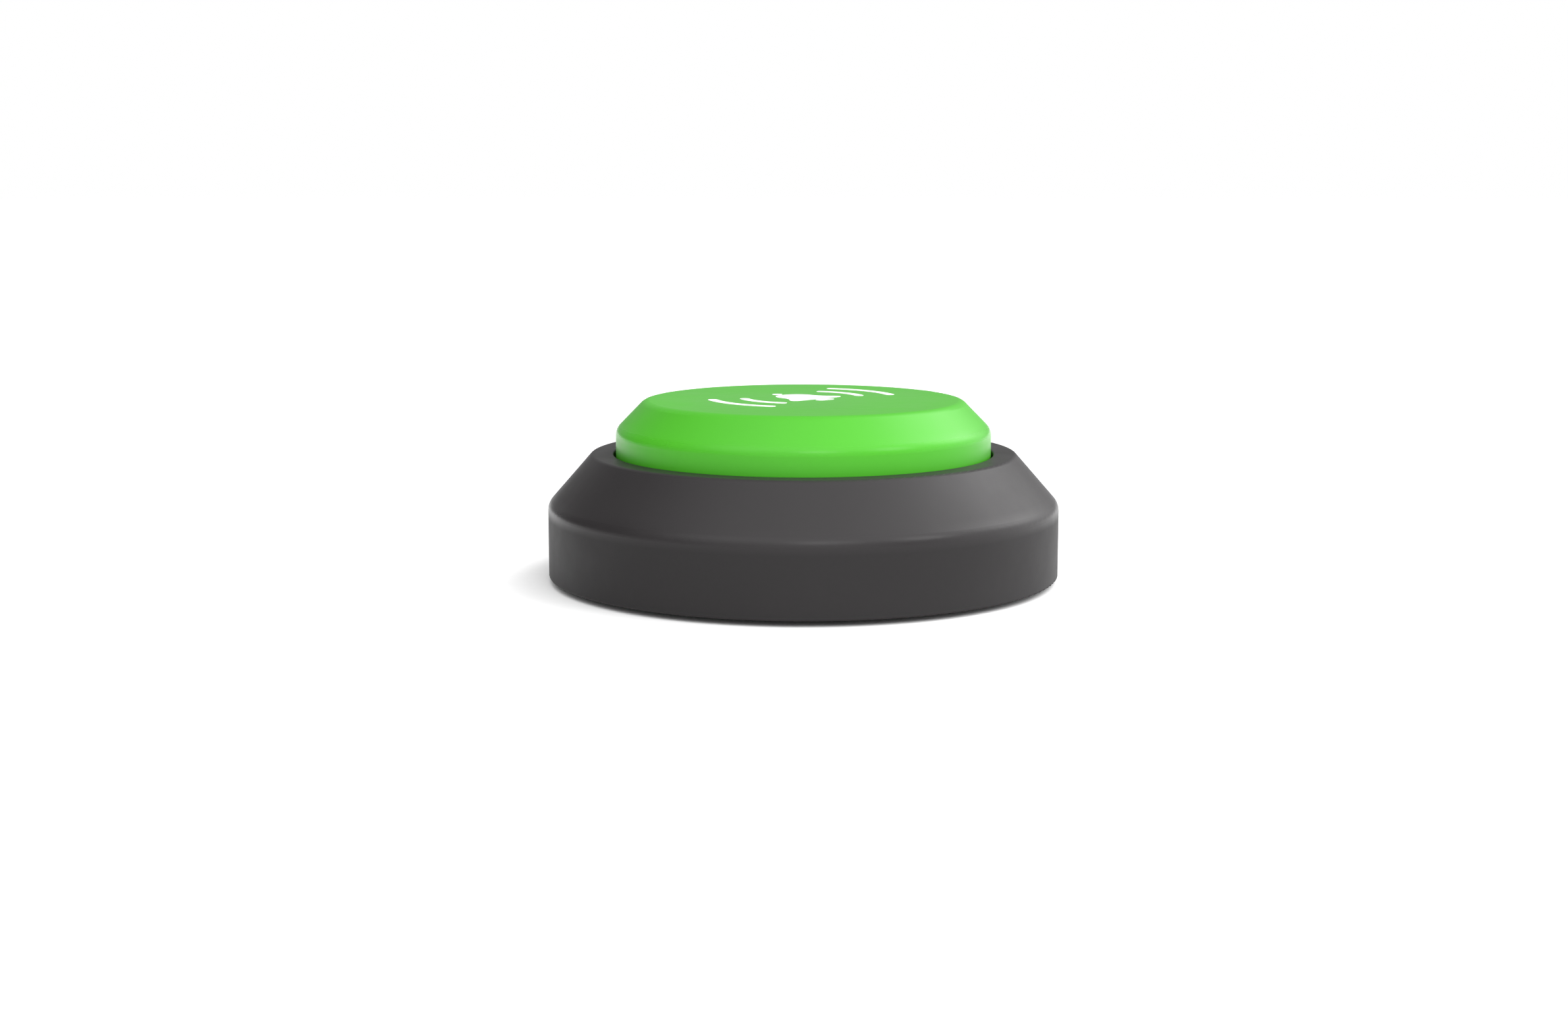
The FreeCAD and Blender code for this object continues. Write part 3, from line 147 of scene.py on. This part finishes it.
def add_plate(mesh, outline, low, high):
    """A flat plate between two heights, inside a closed outline."""
    rings = [[mesh.verts.new((*point, height)) for point in outline] for height in (low, high)]
    faces = [mesh.faces.new(rings[0][::-1]), mesh.faces.new(rings[1])]
    for number, corner in enumerate(rings[0]):
        after = (number + 1) % len(outline)
        mesh.faces.new((corner, rings[0][after], rings[1][after], rings[1][number]))
    bmesh.ops.triangulate(mesh, faces=faces)


def arc_line(centre, radius, start, end, steps):
    """Points on an arc. Its angles are in degrees, and a full circle's last point is left out."""
    whole = abs(end - start) == 360
    line = []
    for step in range(steps if whole else steps + 1):
        angle = math.radians(start + (end - start) * step / steps)
        line.append(centre + Vector((math.cos(angle), math.sin(angle))) * radius)
    return line


def smooth_line(knots, steps=10):
    """Points along cubic curves. Each knot is a point and the handles before and after it."""
    line = []
    for (first, _, leaving), (second, arriving, _) in zip(knots, knots[1:]):
        line += interpolate_bezier(first, leaving, arriving, second, steps)[:-1]
    return line


def feet_of(node, height, spread=1.6 * MM, slack=0.03 * MM):
    """The middle of each place where a CAD node meets the plane at a height."""
    groups = []
    for vertex in frame["nodes"][node].data.vertices:
        if abs(vertex.co.z - height) > slack:
            continue
        near = [group for group in groups if (group[0] - vertex.co).length < spread]
        if near:
            near[0].append(vertex.co.copy())
        else:
            groups.append([vertex.co.copy()])
    middles = []
    for group in groups:
        spans = [(min(c), max(c)) for c in zip(*group)]
        middles.append(Vector([(low + high) / 2 for low, high in spans]))
    return middles


def node_middle(node):
    low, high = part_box(node)
    return (low + high) / 2


# Materials -----------------------------------------------------------------------------------


class Shader:
    """A Principled material and the few nodes that its patterns are made of."""

    def __init__(self, name, colour, roughness=0.5, metallic=0.0, specular=0.5):
        self.material = bpy.data.materials.new(name)
        self.material.use_nodes = True
        self.tree = self.material.node_tree
        self.surface = self.tree.nodes["Principled BSDF"]
        self.place = self.add("ShaderNodeTexCoord").outputs["Object"]
        self.put("Base Color", (*colour, 1))
        self.put("Roughness", roughness)
        self.put("Metallic", metallic)
        self.put("Specular IOR Level", specular)

    def add(self, kind, **inputs):
        node = self.tree.nodes.new(kind)
        for socket, given in inputs.items():
            self.join(node.inputs[socket], given)
        return node

    def join(self, socket, given):
        if isinstance(given, bpy.types.NodeSocket):
            self.tree.links.new(given, socket)
        else:
            socket.default_value = given

    def put(self, socket, given):
        self.join(self.surface.inputs[socket], given)

    def stretched(self, x, y, z):
        """The object's coordinates, scaled along each axis."""
        node = self.add("ShaderNodeMapping", Vector=self.place)
        node.inputs["Scale"].default_value = (x, y, z)
        return node.outputs["Vector"]

    def noise(self, scale, detail=2, roughness=0.5, place=None):
        node = self.add("ShaderNodeTexNoise", Scale=scale, Detail=detail)
        node.inputs["Roughness"].default_value = roughness
        self.join(node.inputs["Vector"], place or self.place)
        return node.outputs["Fac"]

    def cells(self, scale):
        """The distance from the middles of random cells."""
        return self.add("ShaderNodeTexVoronoi", Vector=self.place, Scale=scale).outputs["Distance"]

    def maths(self, operation, first, second=0.0):
        node = self.tree.nodes.new("ShaderNodeMath")
        node.operation = operation
        self.join(node.inputs[0], first)
        self.join(node.inputs[1], second)
        return node.outputs[0]

    def along(self, axis):
        return self.add("ShaderNodeSeparateXYZ", Vector=self.place).outputs[axis]

    def from_axis(self, x=0.0, y=0.0):
        """The distance from a vertical axis."""
        flat = [
            self.maths("POWER", self.maths("SUBTRACT", self.along(axis), middle), 2.0)
            for axis, middle in (("X", x), ("Y", y))
        ]
        return self.maths("SQRT", self.maths("ADD", *flat))

    def from_height(self, level):
        """The distance above or below a level."""
        return self.maths("ABSOLUTE", self.maths("SUBTRACT", self.along("Z"), level))

    def near(self, given, middle, reach):
        """1 where the value is within reach of the middle, and 0 elsewhere."""
        apart = self.maths("ABSOLUTE", self.maths("SUBTRACT", given, middle))
        return self.maths("LESS_THAN", apart, reach)

    def span(self, given, low, high, from_low=0.3, from_high=0.7):
        """The value mapped from one range to another, and held inside it."""
        node = self.add("ShaderNodeMapRange", Value=given)
        for socket, number in zip(
            ("From Min", "From Max", "To Min", "To Max"), (from_low, from_high, low, high)
        ):
            node.inputs[socket].default_value = number
        return node.outputs["Result"]

    def blend(self, share, first, second):
        """One colour fading to the other."""
        node = self.tree.nodes.new("ShaderNodeMix")
        node.data_type = "RGBA"
        self.join(next(i for i in node.inputs if i.name == "Factor"), share)
        for name, given in (("A", first), ("B", second)):
            socket = next(i for i in node.inputs if i.name == name and i.type == "RGBA")
            self.join(socket, given)
        return next(o for o in node.outputs if o.type == "RGBA")

    def shades(self, share, colour, low, high):
        """The colour made darker and lighter by a pattern."""
        return self.blend(share, *((*(part * by for part in colour), 1) for by in (low, high)))

    def bump(self, height, depth):
        node = self.add("ShaderNodeBump", Height=height, Distance=depth, Strength=1.0)
        self.put("Normal", node.outputs["Normal"])


def clouds(made, colour, low=0.97, high=1.03):
    """The colour of moulded plastic, with faint clouds from the melt."""
    return made.shades(made.span(made.noise(35, 3), 0, 1), colour, low, high)


def moulded_grain(made, pitch=0.3 * MM, depth=0.006 * MM):
    """The fine spark-eroded skin of a mould."""
    made.bump(made.noise(1 / pitch, detail=1), depth)


def moulded_plastic(name, colour, roughness, specular=0.5):
    """Injection-moulded plastic with faint handling marks."""
    handled = 0.05
    made = Shader(name, colour, roughness, specular=specular)
    made.put("Base Color", clouds(made, colour))
    smudge = made.noise(90, detail=5, roughness=0.65)
    made.put("Roughness", made.span(smudge, roughness - handled, roughness + handled))
    moulded_grain(made)
    return made


def cap_plastic():
    """Satin green plastic, rubbed smoother where palms land, with a shine along the cap's edge."""
    colour, roughness = (0.0573, 0.344, 0.0177), 0.36
    palm_gloss, palm_reach, palm_edge = -0.06, 6 * MM, 26 * MM
    edge_gloss, shine_reach, shine_edge = -0.12, 0.3 * MM, 1.6 * MM
    made = Shader("cap_plastic", colour, roughness, specular=0.2)
    made.put("Base Color", clouds(made, colour))
    rub = made.span(made.from_axis(), palm_gloss, 0.0, palm_reach, palm_edge)
    smudge = made.span(made.noise(70, 5, 0.65), roughness - 0.03, roughness + 0.04)
    from_edge = made.from_height(CAP_SHOULDER_Z)
    shine = made.span(from_edge, edge_gloss, 0.0, shine_reach, shine_edge)
    made.put("Roughness", made.maths("ADD", smudge, made.maths("ADD", rub, shine)))
    moulded_grain(made, pitch=0.22 * MM, depth=0.002 * MM)
    return made


def housing_plastic():
    """Dark grey plastic, more matt on the wall, with painted shade that darkens the wall's colour, and
    a shine along the shoulder.
    """
    colour, roughness = (0.0206, 0.0188, 0.0196), 0.42
    wall_low, wall_high, wall_matt = SHOULDER_Z - 2.2 * MM, SHOULDER_Z - 0.6 * MM, 0.13
    edge_gloss, shine_reach, shine_edge = -0.11, 0.3 * MM, 2.0 * MM
    made = Shader("housing_plastic", colour, roughness, specular=0.21)
    # Painted shade: below the shoulder the colour is darkened to 0.7 to 0.74 of itself. This stands in
    # for the wall's shade under the light from above. The same mask also makes the wall more matt.
    wall = made.span(made.along("Z"), 1.0, 0.0, wall_low, wall_high)
    dark = clouds(made, colour, 0.7, 0.74)
    made.put("Base Color", made.blend(wall, clouds(made, colour), dark))
    shine = made.span(made.from_height(SHOULDER_Z), edge_gloss, 0.0, shine_reach, shine_edge)
    matt = made.maths("ADD", shine, made.maths("MULTIPLY", wall, wall_matt))
    smudge = made.span(made.noise(80, 5, 0.65), roughness - 0.04, roughness + 0.04)
    made.put("Roughness", made.maths("ADD", smudge, matt))
    moulded_grain(made)
    return made


def metal(name, colour, roughness, streak=(1, 1, 1)):
    """Bare metal whose fine marks are drawn out along the axes with the small streak numbers."""
    pitch, depth = 0.3 * MM, 0.002 * MM
    made = Shader(name, colour, roughness, metallic=1.0)
    marks = made.noise(1 / pitch, 3, place=made.stretched(*streak))
    made.put("Base Color", made.shades(made.span(marks, 0, 1), colour, 0.9, 1.05))
    made.put("Roughness", made.span(marks, roughness - 0.06, roughness + 0.08))
    made.bump(marks, depth)
    return made


def rubber():
    colour = (0.013, 0.013, 0.014)
    made = Shader("rubber", colour, 0.75, specular=0.3)
    dust = made.span(made.noise(240, 4), 0, 1, 0.45, 0.8)
    made.put("Base Color", made.shades(dust, colour, 0.9, 2.2))
    made.put("Roughness", made.span(dust, 0.7, 0.9, 0, 1))
    made.bump(made.noise(2500, 2), 0.02 * MM)
    return made


def gasket_foam():
    colour = (0.03, 0.03, 0.033)
    made = Shader("gasket_foam", colour, 0.95, specular=0.15)
    pores = made.cells(2600)
    made.put("Base Color", made.shades(made.span(pores, 0, 1, 0.1, 0.6), colour, 1.5, 0.5))
    made.bump(pores, 0.08 * MM)
    return made


def speaker_cone():
    """Pressed black film with fine fibres and a faint ring at each change of slope."""
    colour, ripples = (0.022, 0.021, 0.02), 9 / MM
    made = Shader("diaphragm", colour, 0.4, specular=0.4)
    middle = node_middle("speaker_diaphragm")
    out = made.from_axis(middle.x, middle.y)
    ripple = made.maths("SINE", made.maths("MULTIPLY", out, ripples))
    fibres = made.noise(900, 4)
    made.put("Base Color", made.shades(made.span(fibres, 0, 1), colour, 0.8, 1.4))
    made.bump(made.maths("ADD", ripple, fibres), 0.015 * MM)
    return made


def voice_coil():
    """Enamelled copper wire, one turn above another, with painted shade in the grooves between turns
    and a faint painted highlight on their crests.
    """
    colour, pitch = (0.72, 0.29, 0.12), 0.16 * MM
    made = Shader("coil_copper", colour, 0.3, metallic=1.0)
    turns = made.maths("SINE", made.maths("MULTIPLY", made.along("Z"), 2 * math.pi / pitch))
    # Painted shade and highlight: the colour falls to 0.45 of itself in the grooves between turns,
    # where the bump is lowest, and rises to 1.1 of itself on each turn's crest.
    made.put("Base Color", made.shades(made.span(turns, 0, 1, -1, 1), colour, 0.45, 1.1))
    made.bump(turns, 0.03 * MM)
    return made


def board_lacquer():
    """Green solder lacquer over glass cloth, with groups of copper tracks that show through it."""
    colour, over_copper = (0.012, 0.11, 0.035), (0.035, 0.22, 0.06, 1)
    group_size, pitch, half_track, skin = 7 * MM, 1.27 * MM, 0.19 * MM, 0.05 * MM
    across_above, along_below = 0.56, 0.46
    made = Shader("circuit_board", colour, 0.35)
    groups = made.add("ShaderNodeTexVoronoi", Vector=made.place, Scale=1 / group_size)
    groups.distance = "CHEBYCHEV"
    group = groups.outputs["Color"]
    across, along = (
        made.near(made.maths("PINGPONG", made.along(axis), pitch / 2), 0.0, half_track)
        for axis in ("X", "Y")
    )
    across = made.maths("MULTIPLY", across, made.maths("GREATER_THAN", group, across_above))
    along = made.maths("MULTIPLY", along, made.maths("LESS_THAN", group, along_below))
    face = made.maths("GREATER_THAN", made.along("Z"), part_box("circuit_board")[1].z - skin)
    track = made.maths("MULTIPLY", face, made.maths("MAXIMUM", across, along))
    weave = made.noise(1600, 1, place=made.stretched(1, 0.2, 1))
    cloth = made.shades(made.span(weave, 0, 1), colour, 0.85, 1.15)
    made.put("Base Color", made.blend(track, cloth, over_copper))
    made.bump(made.maths("ADD", track, made.maths("MULTIPLY", weave, 0.1)), 0.03 * MM)
    return made


def chip_epoxy():
    """A poured drop of black epoxy, cloudy and a little wavy."""
    colour = (0.008, 0.008, 0.009)
    made = Shader("chip_epoxy", colour, 0.22)
    made.put("Base Color", made.shades(made.span(made.noise(400, 3), 0, 1), colour, 0.7, 1.6))
    made.put("Roughness", made.span(made.noise(700, 3), 0.16, 0.34))
    made.bump(made.noise(350, 2), 0.05 * MM)
    return made


def capacitor_can():
    """A dark blue sleeve with a pale stripe down one side and a bare top."""
    blue, pale, bare_metal = (0.01, 0.02, 0.07), (0.4, 0.42, 0.45, 1), (0.7, 0.7, 0.7, 1)
    stripe_depth, top_depth = 0.35 * MM, 0.25 * MM
    made = Shader("capacitor_can", blue, 0.3)
    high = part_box("board_capacitor")[1]
    fine = made.span(made.noise(1500, 2), 0, 1)
    stripe = made.maths("GREATER_THAN", made.along("X"), high.x - stripe_depth)
    sleeve = made.blend(stripe, made.shades(fine, blue, 0.85, 1.15), pale)
    top = made.maths("GREATER_THAN", made.along("Z"), high.z - top_depth)
    made.put("Base Color", made.blend(top, sleeve, bare_metal))
    made.put("Metallic", top)
    made.bump(fine, 0.004 * MM)
    return made


def terminal_board():
    colour = (0.2, 0.09, 0.035)
    made = Shader("terminal_board", colour, 0.5)
    fibres = made.noise(1200, 4, place=made.stretched(1, 0.15, 0.15))
    made.put("Base Color", made.shades(made.span(fibres, 0, 1), colour, 0.7, 1.2))
    made.bump(fibres, 0.02 * MM)
    return made


def cell_sleeve():
    """A printed sleeve with a plus and a minus, and the bare steel can at both ends."""
    body, band, ink = (0.02, 0.06, 0.05), (0.32, 0.33, 0.33, 1), (0.75, 0.75, 0.72, 1)
    can, minus_end, plus_end = (0.66, 0.65, 0.62, 1), 0.7 * MM, 1.6 * MM
    sign_length, sign_line = 1.5 * MM, 0.3 * MM
    made = Shader("cell_sleeve", body, 0.3)
    low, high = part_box("battery_cell_back")
    middle = node_middle("battery_cell_back")
    sign = made.maths("SIGN", made.along("Y"))
    towards_plus = made.maths("MULTIPLY", made.along("X"), sign)
    across = made.maths("SUBTRACT", made.maths("MULTIPLY", made.along("Y"), sign), middle.y)
    fine = made.span(made.noise(900, 3), 0, 1)
    colour = made.shades(fine, body, 0.9, 1.1)
    bands = ((high.x - 8 * MM, 4.2 * MM), (high.x - 14 * MM, 0.5 * MM))
    for place, reach in bands:
        colour = made.blend(made.near(towards_plus, place, reach), colour, band)
    below = made.maths("LESS_THAN", made.along("Z"), middle.z)
    plus, minus = high.x - 19 * MM, low.x + 6 * MM
    bars = (
        (plus, sign_length, sign_line),
        (plus, sign_line, sign_length),
        (minus, sign_line, sign_length),
    )
    for place, half_length, half_width in bars:
        bar = made.maths(
            "MULTIPLY", made.near(towards_plus, place, half_length), made.near(across, 0.0, half_width)
        )
        colour = made.blend(made.maths("MULTIPLY", bar, below), colour, ink)
    ends = made.maths(
        "ADD",
        made.maths("LESS_THAN", towards_plus, low.x + minus_end),
        made.maths("GREATER_THAN", towards_plus, high.x - plus_end),
    )
    made.put("Base Color", made.blend(ends, colour, can))
    made.put("Metallic", ends)
    made.put("Roughness", made.span(fine, 0.24, 0.36, 0, 1))
    made.bump(fine, 0.003 * MM)
    return made


def wire_cover(name, colour):
    """Soft wire insulation with a slight sheen and a faint waviness."""
    made = Shader(name, colour, 0.38)
    waves = made.noise(500, 2)
    made.put("Base Color", made.shades(made.span(waves, 0, 1), colour, 0.92, 1.08))
    made.put("Roughness", made.span(waves, 0.32, 0.46))
    made.bump(waves, 0.02 * MM)
    return made


def printing_ink():
    """White ink, a little uneven and thinner in places from use."""
    colour, thin = (0.86, 0.87, 0.86), (0.6, 0.78, 0.58, 1)
    made = Shader("printing_ink", colour, 0.45, specular=0.4)
    worn = made.span(made.noise(900, 4), 0, 1, 0.62, 0.8)
    made.put("Base Color", made.blend(worn, (*colour, 1), thin))
    made.put("Roughness", made.span(made.noise(2000, 2), 0.4, 0.52))
    made.bump(made.noise(5000, 1), 0.004 * MM)
    return made


def solder():
    """Bright solder with a dull skin in places."""
    colour = (0.62, 0.62, 0.61)
    made = Shader("solder", colour, 0.22, metallic=1.0)
    skin = made.noise(2200, 3)
    made.put("Base Color", made.shades(made.span(skin, 0, 1), colour, 1.05, 0.8))
    made.put("Roughness", made.span(skin, 0.15, 0.38))
    made.bump(skin, 0.02 * MM)
    return made


def slot_materials():
    """The finish of every material slot in the record."""
    return {
        "housing_plastic": housing_plastic(),
        "cap_plastic": cap_plastic(),
        "cover_plastic": moulded_plastic("cover_plastic", (0.013, 0.013, 0.0135), 0.55, 0.35),
        "inner_plastic": moulded_plastic("inner_plastic", (0.42, 0.42, 0.4), 0.5),
        "plunger_plastic": moulded_plastic("plunger_plastic", (0.55, 0.53, 0.46), 0.4),
        "component_black": moulded_plastic("component_black", (0.018, 0.018, 0.019), 0.42),
        "rubber": rubber(),
        "gasket_foam": gasket_foam(),
        "screw_steel": metal("screw_steel", (0.6, 0.6, 0.58), 0.32, (1, 1, 0.2)),
        "spring_steel": metal("spring_steel", (0.55, 0.55, 0.56), 0.28, (0.3, 0.3, 1)),
        "contact_nickel": metal("contact_nickel", (0.7, 0.67, 0.62), 0.25, (1, 0.15, 1)),
        "speaker_steel": metal("speaker_steel", (0.5, 0.5, 0.5), 0.38, (0.4, 0.4, 1)),
        "magnet": metal("magnet", (0.14, 0.14, 0.15), 0.5),
        "tinned_metal": metal("tinned_metal", (0.68, 0.68, 0.66), 0.3),
        "diaphragm": speaker_cone(),
        "coil_copper": voice_coil(),
        "circuit_board": board_lacquer(),
        "chip_epoxy": chip_epoxy(),
        "capacitor_can": capacitor_can(),
        "terminal_board": terminal_board(),
        "cell_sleeve": cell_sleeve(),
        "wire_red": wire_cover("wire_red", (0.5, 0.012, 0.01)),
        "wire_black": wire_cover("wire_black", (0.012, 0.012, 0.013)),
        "wire_yellow": wire_cover("wire_yellow", (0.62, 0.4, 0.02)),
        "wire_white": wire_cover("wire_white", (0.66, 0.66, 0.63)),
    }


def dress_nodes(materials):
    """Gives every CAD node the finish of its slot."""
    for row in frame["record"]["subparts"]:
        mesh = frame["nodes"][row["node"]].data
        mesh.materials.clear()
        mesh.materials.append(materials[row["material_slot"]].material)


# Pieces that the CAD model has no need of ----------------------------------------------------


def cap_mark():
    """A ringing bell, printed on the cap where a palm lands."""
    half_width, ink, gap = 0.85 * MM, 0.04 * MM, 0.6 * MM
    crown_y, lip_y, knob_reach, clapper_reach = 5.3, -4.0, 0.1 * MM, 1.1 * MM
    arc_radii, arc_middle_y, arc_spread = (10.6, 16.4), 0.3, 27
    turned, moved_back = math.radians(44), 3 * MM
    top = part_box("button_cap")[1].z
    low, high = top - ink, top + ink
    right_half = [
        ((0, lip_y), (-3.0, lip_y), (3.0, lip_y)),
        ((4.4, lip_y), (3.4, lip_y), (6.3, lip_y)),
        ((5.2, -1.9), (6.2, -2.9), (4.3, -1.0)),
        ((3.8, 1.4), (3.8, 0.2), (3.8, 3.8)),
        ((0, crown_y), (2.3, crown_y), (-2.3, crown_y)),
    ]
    left_half = [
        tuple((-x, y) for x, y in (point, after, before)) for point, before, after in right_half
    ]
    knots = right_half + left_half[-2::-1]
    outline = smooth_line([tuple(Vector(part) * MM for part in knot) for knot in knots])
    mesh = bmesh.new()
    add_plate(mesh, outline, low, high)
    knob_y = crown_y * MM + gap + half_width
    clapper_y = lip_y * MM - gap - half_width
    for height, reach in ((knob_y, knob_reach), (clapper_y, clapper_reach)):
        ends = [Vector((side * reach, height)) for side in (-1, 1)]
        add_stroke(mesh, ends, half_width, low, high)
    for radius in arc_radii:
        for facing in (0, 180):
            start, end = facing - arc_spread, facing + arc_spread
            arc = arc_line(Vector((0, arc_middle_y * MM)), radius * MM, start, end, 16)
            add_stroke(mesh, arc, half_width, low, high)
    mesh.transform(Matrix.Translation((0, moved_back, 0)) @ Matrix.Rotation(turned, 4, "Z"))
    piece = new_piece("cap_mark", "button", printing_ink().material)
    fill_piece(piece, mesh, smooth=False)


def return_coils(steel):
    """The three return springs, wound smoothly and closed at both ends."""
    low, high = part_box("return_springs")
    wire, radius, across = 0.35 * MM, 2.95 * MM, 24 * MM
    turns, closed_turns, steps = 8, 1.0, 28
    rise = high.z - low.z - 2 * wire
    end_rise = closed_turns * 2 * wire
    mesh = bmesh.new()
    for facing in (90, 210, 330):
        away = math.radians(facing)
        foot = Vector((across * math.cos(away), across * math.sin(away), low.z + wire))
        line = []
        for step in range(turns * steps + 1):
            turn = step / steps
            if turn < closed_turns:
                height = end_rise * turn / closed_turns
            elif turn > turns - closed_turns:
                height = rise - end_rise * (turns - turn) / closed_turns
            else:
                share = (turn - closed_turns) / (turns - 2 * closed_turns)
                height = end_rise + (rise - 2 * end_rise) * share
            angle = away + 2 * math.pi * turn
            round_axis = Vector((radius * math.cos(angle), radius * math.sin(angle), height))
            line.append(foot + round_axis)
        add_tube(mesh, line, wire)
    piece = new_piece("return_coils", "base", steel)
    fill_piece(piece, mesh)
    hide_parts("return_springs")
    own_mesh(piece)


def solder_joints(material):
    """A cone of solder round every wire that meets the board."""
    low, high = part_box("circuit_board")
    outline = ((1.2, 0), (1.15, 0.1), (0.9, 0.3), (0.74, 0.6), (0.64, 1.0), (0.55, 1.05))
    places = [(radius * MM, height * MM) for radius, height in outline]
    mesh = bmesh.new()
    for node in ("battery_wire_red", "battery_wire_black", "speaker_wires", "switch_wires"):
        for foot in feet_of(node, high.z):
            if low.x < foot.x < high.x and low.y < foot.y < high.y:
                add_lathe(mesh, foot, places)
    piece = new_piece("board_solder", "base", material)
    fill_piece(piece, mesh)


def switch_symbols(material):
    """A raised circle and a raised bar beside the power switch, for off and on."""
    knob, low = node_middle("power_switch_body"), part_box("bottom_cover")[0].z
    height, half_width, aside, tall = 0.25 * MM, 0.28 * MM, 7.2 * MM, 1.3 * MM
    mesh = bmesh.new()
    ring = arc_line(Vector((knob.x - aside, knob.y)), tall, 0, 360, 36)
    add_stroke(mesh, ring, half_width, low - height, low + height, closed=True)
    bar = [Vector((knob.x + aside, knob.y + side * tall)) for side in (-1, 1)]
    add_stroke(mesh, bar, half_width, low - height, low + height)
    piece = new_piece("switch_symbols", "base", material)
    fill_piece(piece, mesh, smooth=False)


# Camera, light and floor ---------------------------------------------------------------------

CAMERA_DISTANCE = 382 * MM
CAMERA_HEIGHT = 70.7 * MM
CAMERA_DOWN = math.radians(8.92)
CAMERA_LEFT = math.radians(0.51)
CAMERA_SHIFT = 0.0061
CAMERA_LENS, CAMERA_SENSOR = 50, 36


def make_camera():
    data = bpy.data.cameras.new("camera")
    data.lens, data.sensor_width = CAMERA_LENS, CAMERA_SENSOR
    data.shift_y = CAMERA_SHIFT
    camera = bpy.data.objects.new("camera", data)
    camera.location = (0, -CAMERA_DISTANCE, CAMERA_HEIGHT)
    forward = Vector(
        (
            -math.sin(CAMERA_LEFT) * math.cos(CAMERA_DOWN),
            math.cos(CAMERA_LEFT) * math.cos(CAMERA_DOWN),
            -math.sin(CAMERA_DOWN),
        )
    )
    camera.rotation_mode = "QUATERNION"
    camera.rotation_quaternion = forward.to_track_quat("-Z", "Y")
    bpy.context.collection.objects.link(camera)
    bpy.context.scene.camera = camera


# The studio's soft boxes: azimuth, elevation and reach in degrees, then the brightness in the
# middle. Azimuth 0 is in front of the object, and 90 at its right.
SOFT_BOXES = {
    "overhead": (0, 80, 60, 1.0),
    "front": (0, 40, 65, 1.7),
    "front_strip": (10, 32, 15, 4.5),
    "left_strip": (-55, 32, 36, 0.6),
    "key_strip": (60, 32, 15, 4.5),
    "right": (100, 25, 60, 2.0),
    "edge": (120, 40, 30, 3.0),
    "behind": (180, 15, 60, 0.35),
}
ROOM_LIGHT = 0.06
WHITE = (1, 1, 1, 1)


def towards(azimuth, elevation):
    turn, rise = math.radians(azimuth), math.radians(elevation)
    return Vector(
        (math.sin(turn) * math.cos(rise), -math.cos(turn) * math.cos(rise), math.sin(rise))
    )


def make_world():
    """A white backdrop to look at, and a dim room with soft boxes that lights the object."""
    world = bpy.data.worlds.new("studio")
    world.use_nodes = True
    tree = world.node_tree
    direction = tree.nodes.new("ShaderNodeTexCoord").outputs["Generated"]
    room_light = tree.nodes.new("ShaderNodeValue")
    room_light.outputs[0].default_value = ROOM_LIGHT
    level = room_light.outputs[0]
    for name, (azimuth, elevation, reach, brightness) in SOFT_BOXES.items():
        facing = tree.nodes.new("ShaderNodeVectorMath")
        facing.operation = "DOT_PRODUCT"
        facing.inputs[1].default_value = towards(azimuth, elevation)
        tree.links.new(direction, facing.inputs[0])
        glow = tree.nodes.new("ShaderNodeMapRange")
        glow.name = name
        glow.interpolation_type = "SMOOTHSTEP"
        glow.inputs["From Min"].default_value = math.cos(math.radians(reach))
        glow.inputs["To Max"].default_value = brightness
        tree.links.new(facing.outputs["Value"], glow.inputs["Value"])
        total = tree.nodes.new("ShaderNodeMath")
        tree.links.new(level, total.inputs[0])
        tree.links.new(glow.outputs["Result"], total.inputs[1])
        level = total.outputs[0]
    room = tree.nodes["Background"]
    room.inputs["Color"].default_value = WHITE
    tree.links.new(level, room.inputs["Strength"])
    backdrop = tree.nodes.new("ShaderNodeBackground")
    backdrop.inputs["Color"].default_value = WHITE
    seen = tree.nodes.new("ShaderNodeLightPath").outputs["Is Camera Ray"]
    mix = tree.nodes.new("ShaderNodeMixShader")
    tree.links.new(seen, mix.inputs["Fac"])
    tree.links.new(room.outputs[0], mix.inputs[1])
    tree.links.new(backdrop.outputs[0], mix.inputs[2])
    tree.links.new(mix.outputs[0], tree.nodes["World Output"].inputs["Surface"])
    bpy.context.scene.world = world
    bpy.context.scene.view_settings.view_transform = "Standard"


def make_floor():
    """Pale paper, a hair below the feet so that the two faces don't coincide."""
    half_side, below_feet, pale = 6, 0.02 * MM, (0.86, 0.86, 0.86)
    floor = new_piece("floor")
    mesh = bmesh.new()
    bmesh.ops.create_grid(mesh, x_segments=1, y_segments=1, size=half_side)
    mesh.to_mesh(floor.data)
    mesh.free()
    paper = Shader("floor_paper", pale, roughness=0.9, specular=0.2)
    fibres = paper.span(paper.noise(400, 4), 0, 1)
    paper.put("Base Color", paper.shades(fibres, pale, 0.985, 1.0))
    floor.data.materials.append(paper.material)
    floor.location.z = -below_feet


materials = slot_materials()
dress_nodes(materials)
cap_mark()
return_coils(materials["spring_steel"].material)
solder_joints(solder().material)
switch_symbols(materials["cover_plastic"].material)
make_camera()
make_world()
make_floor()
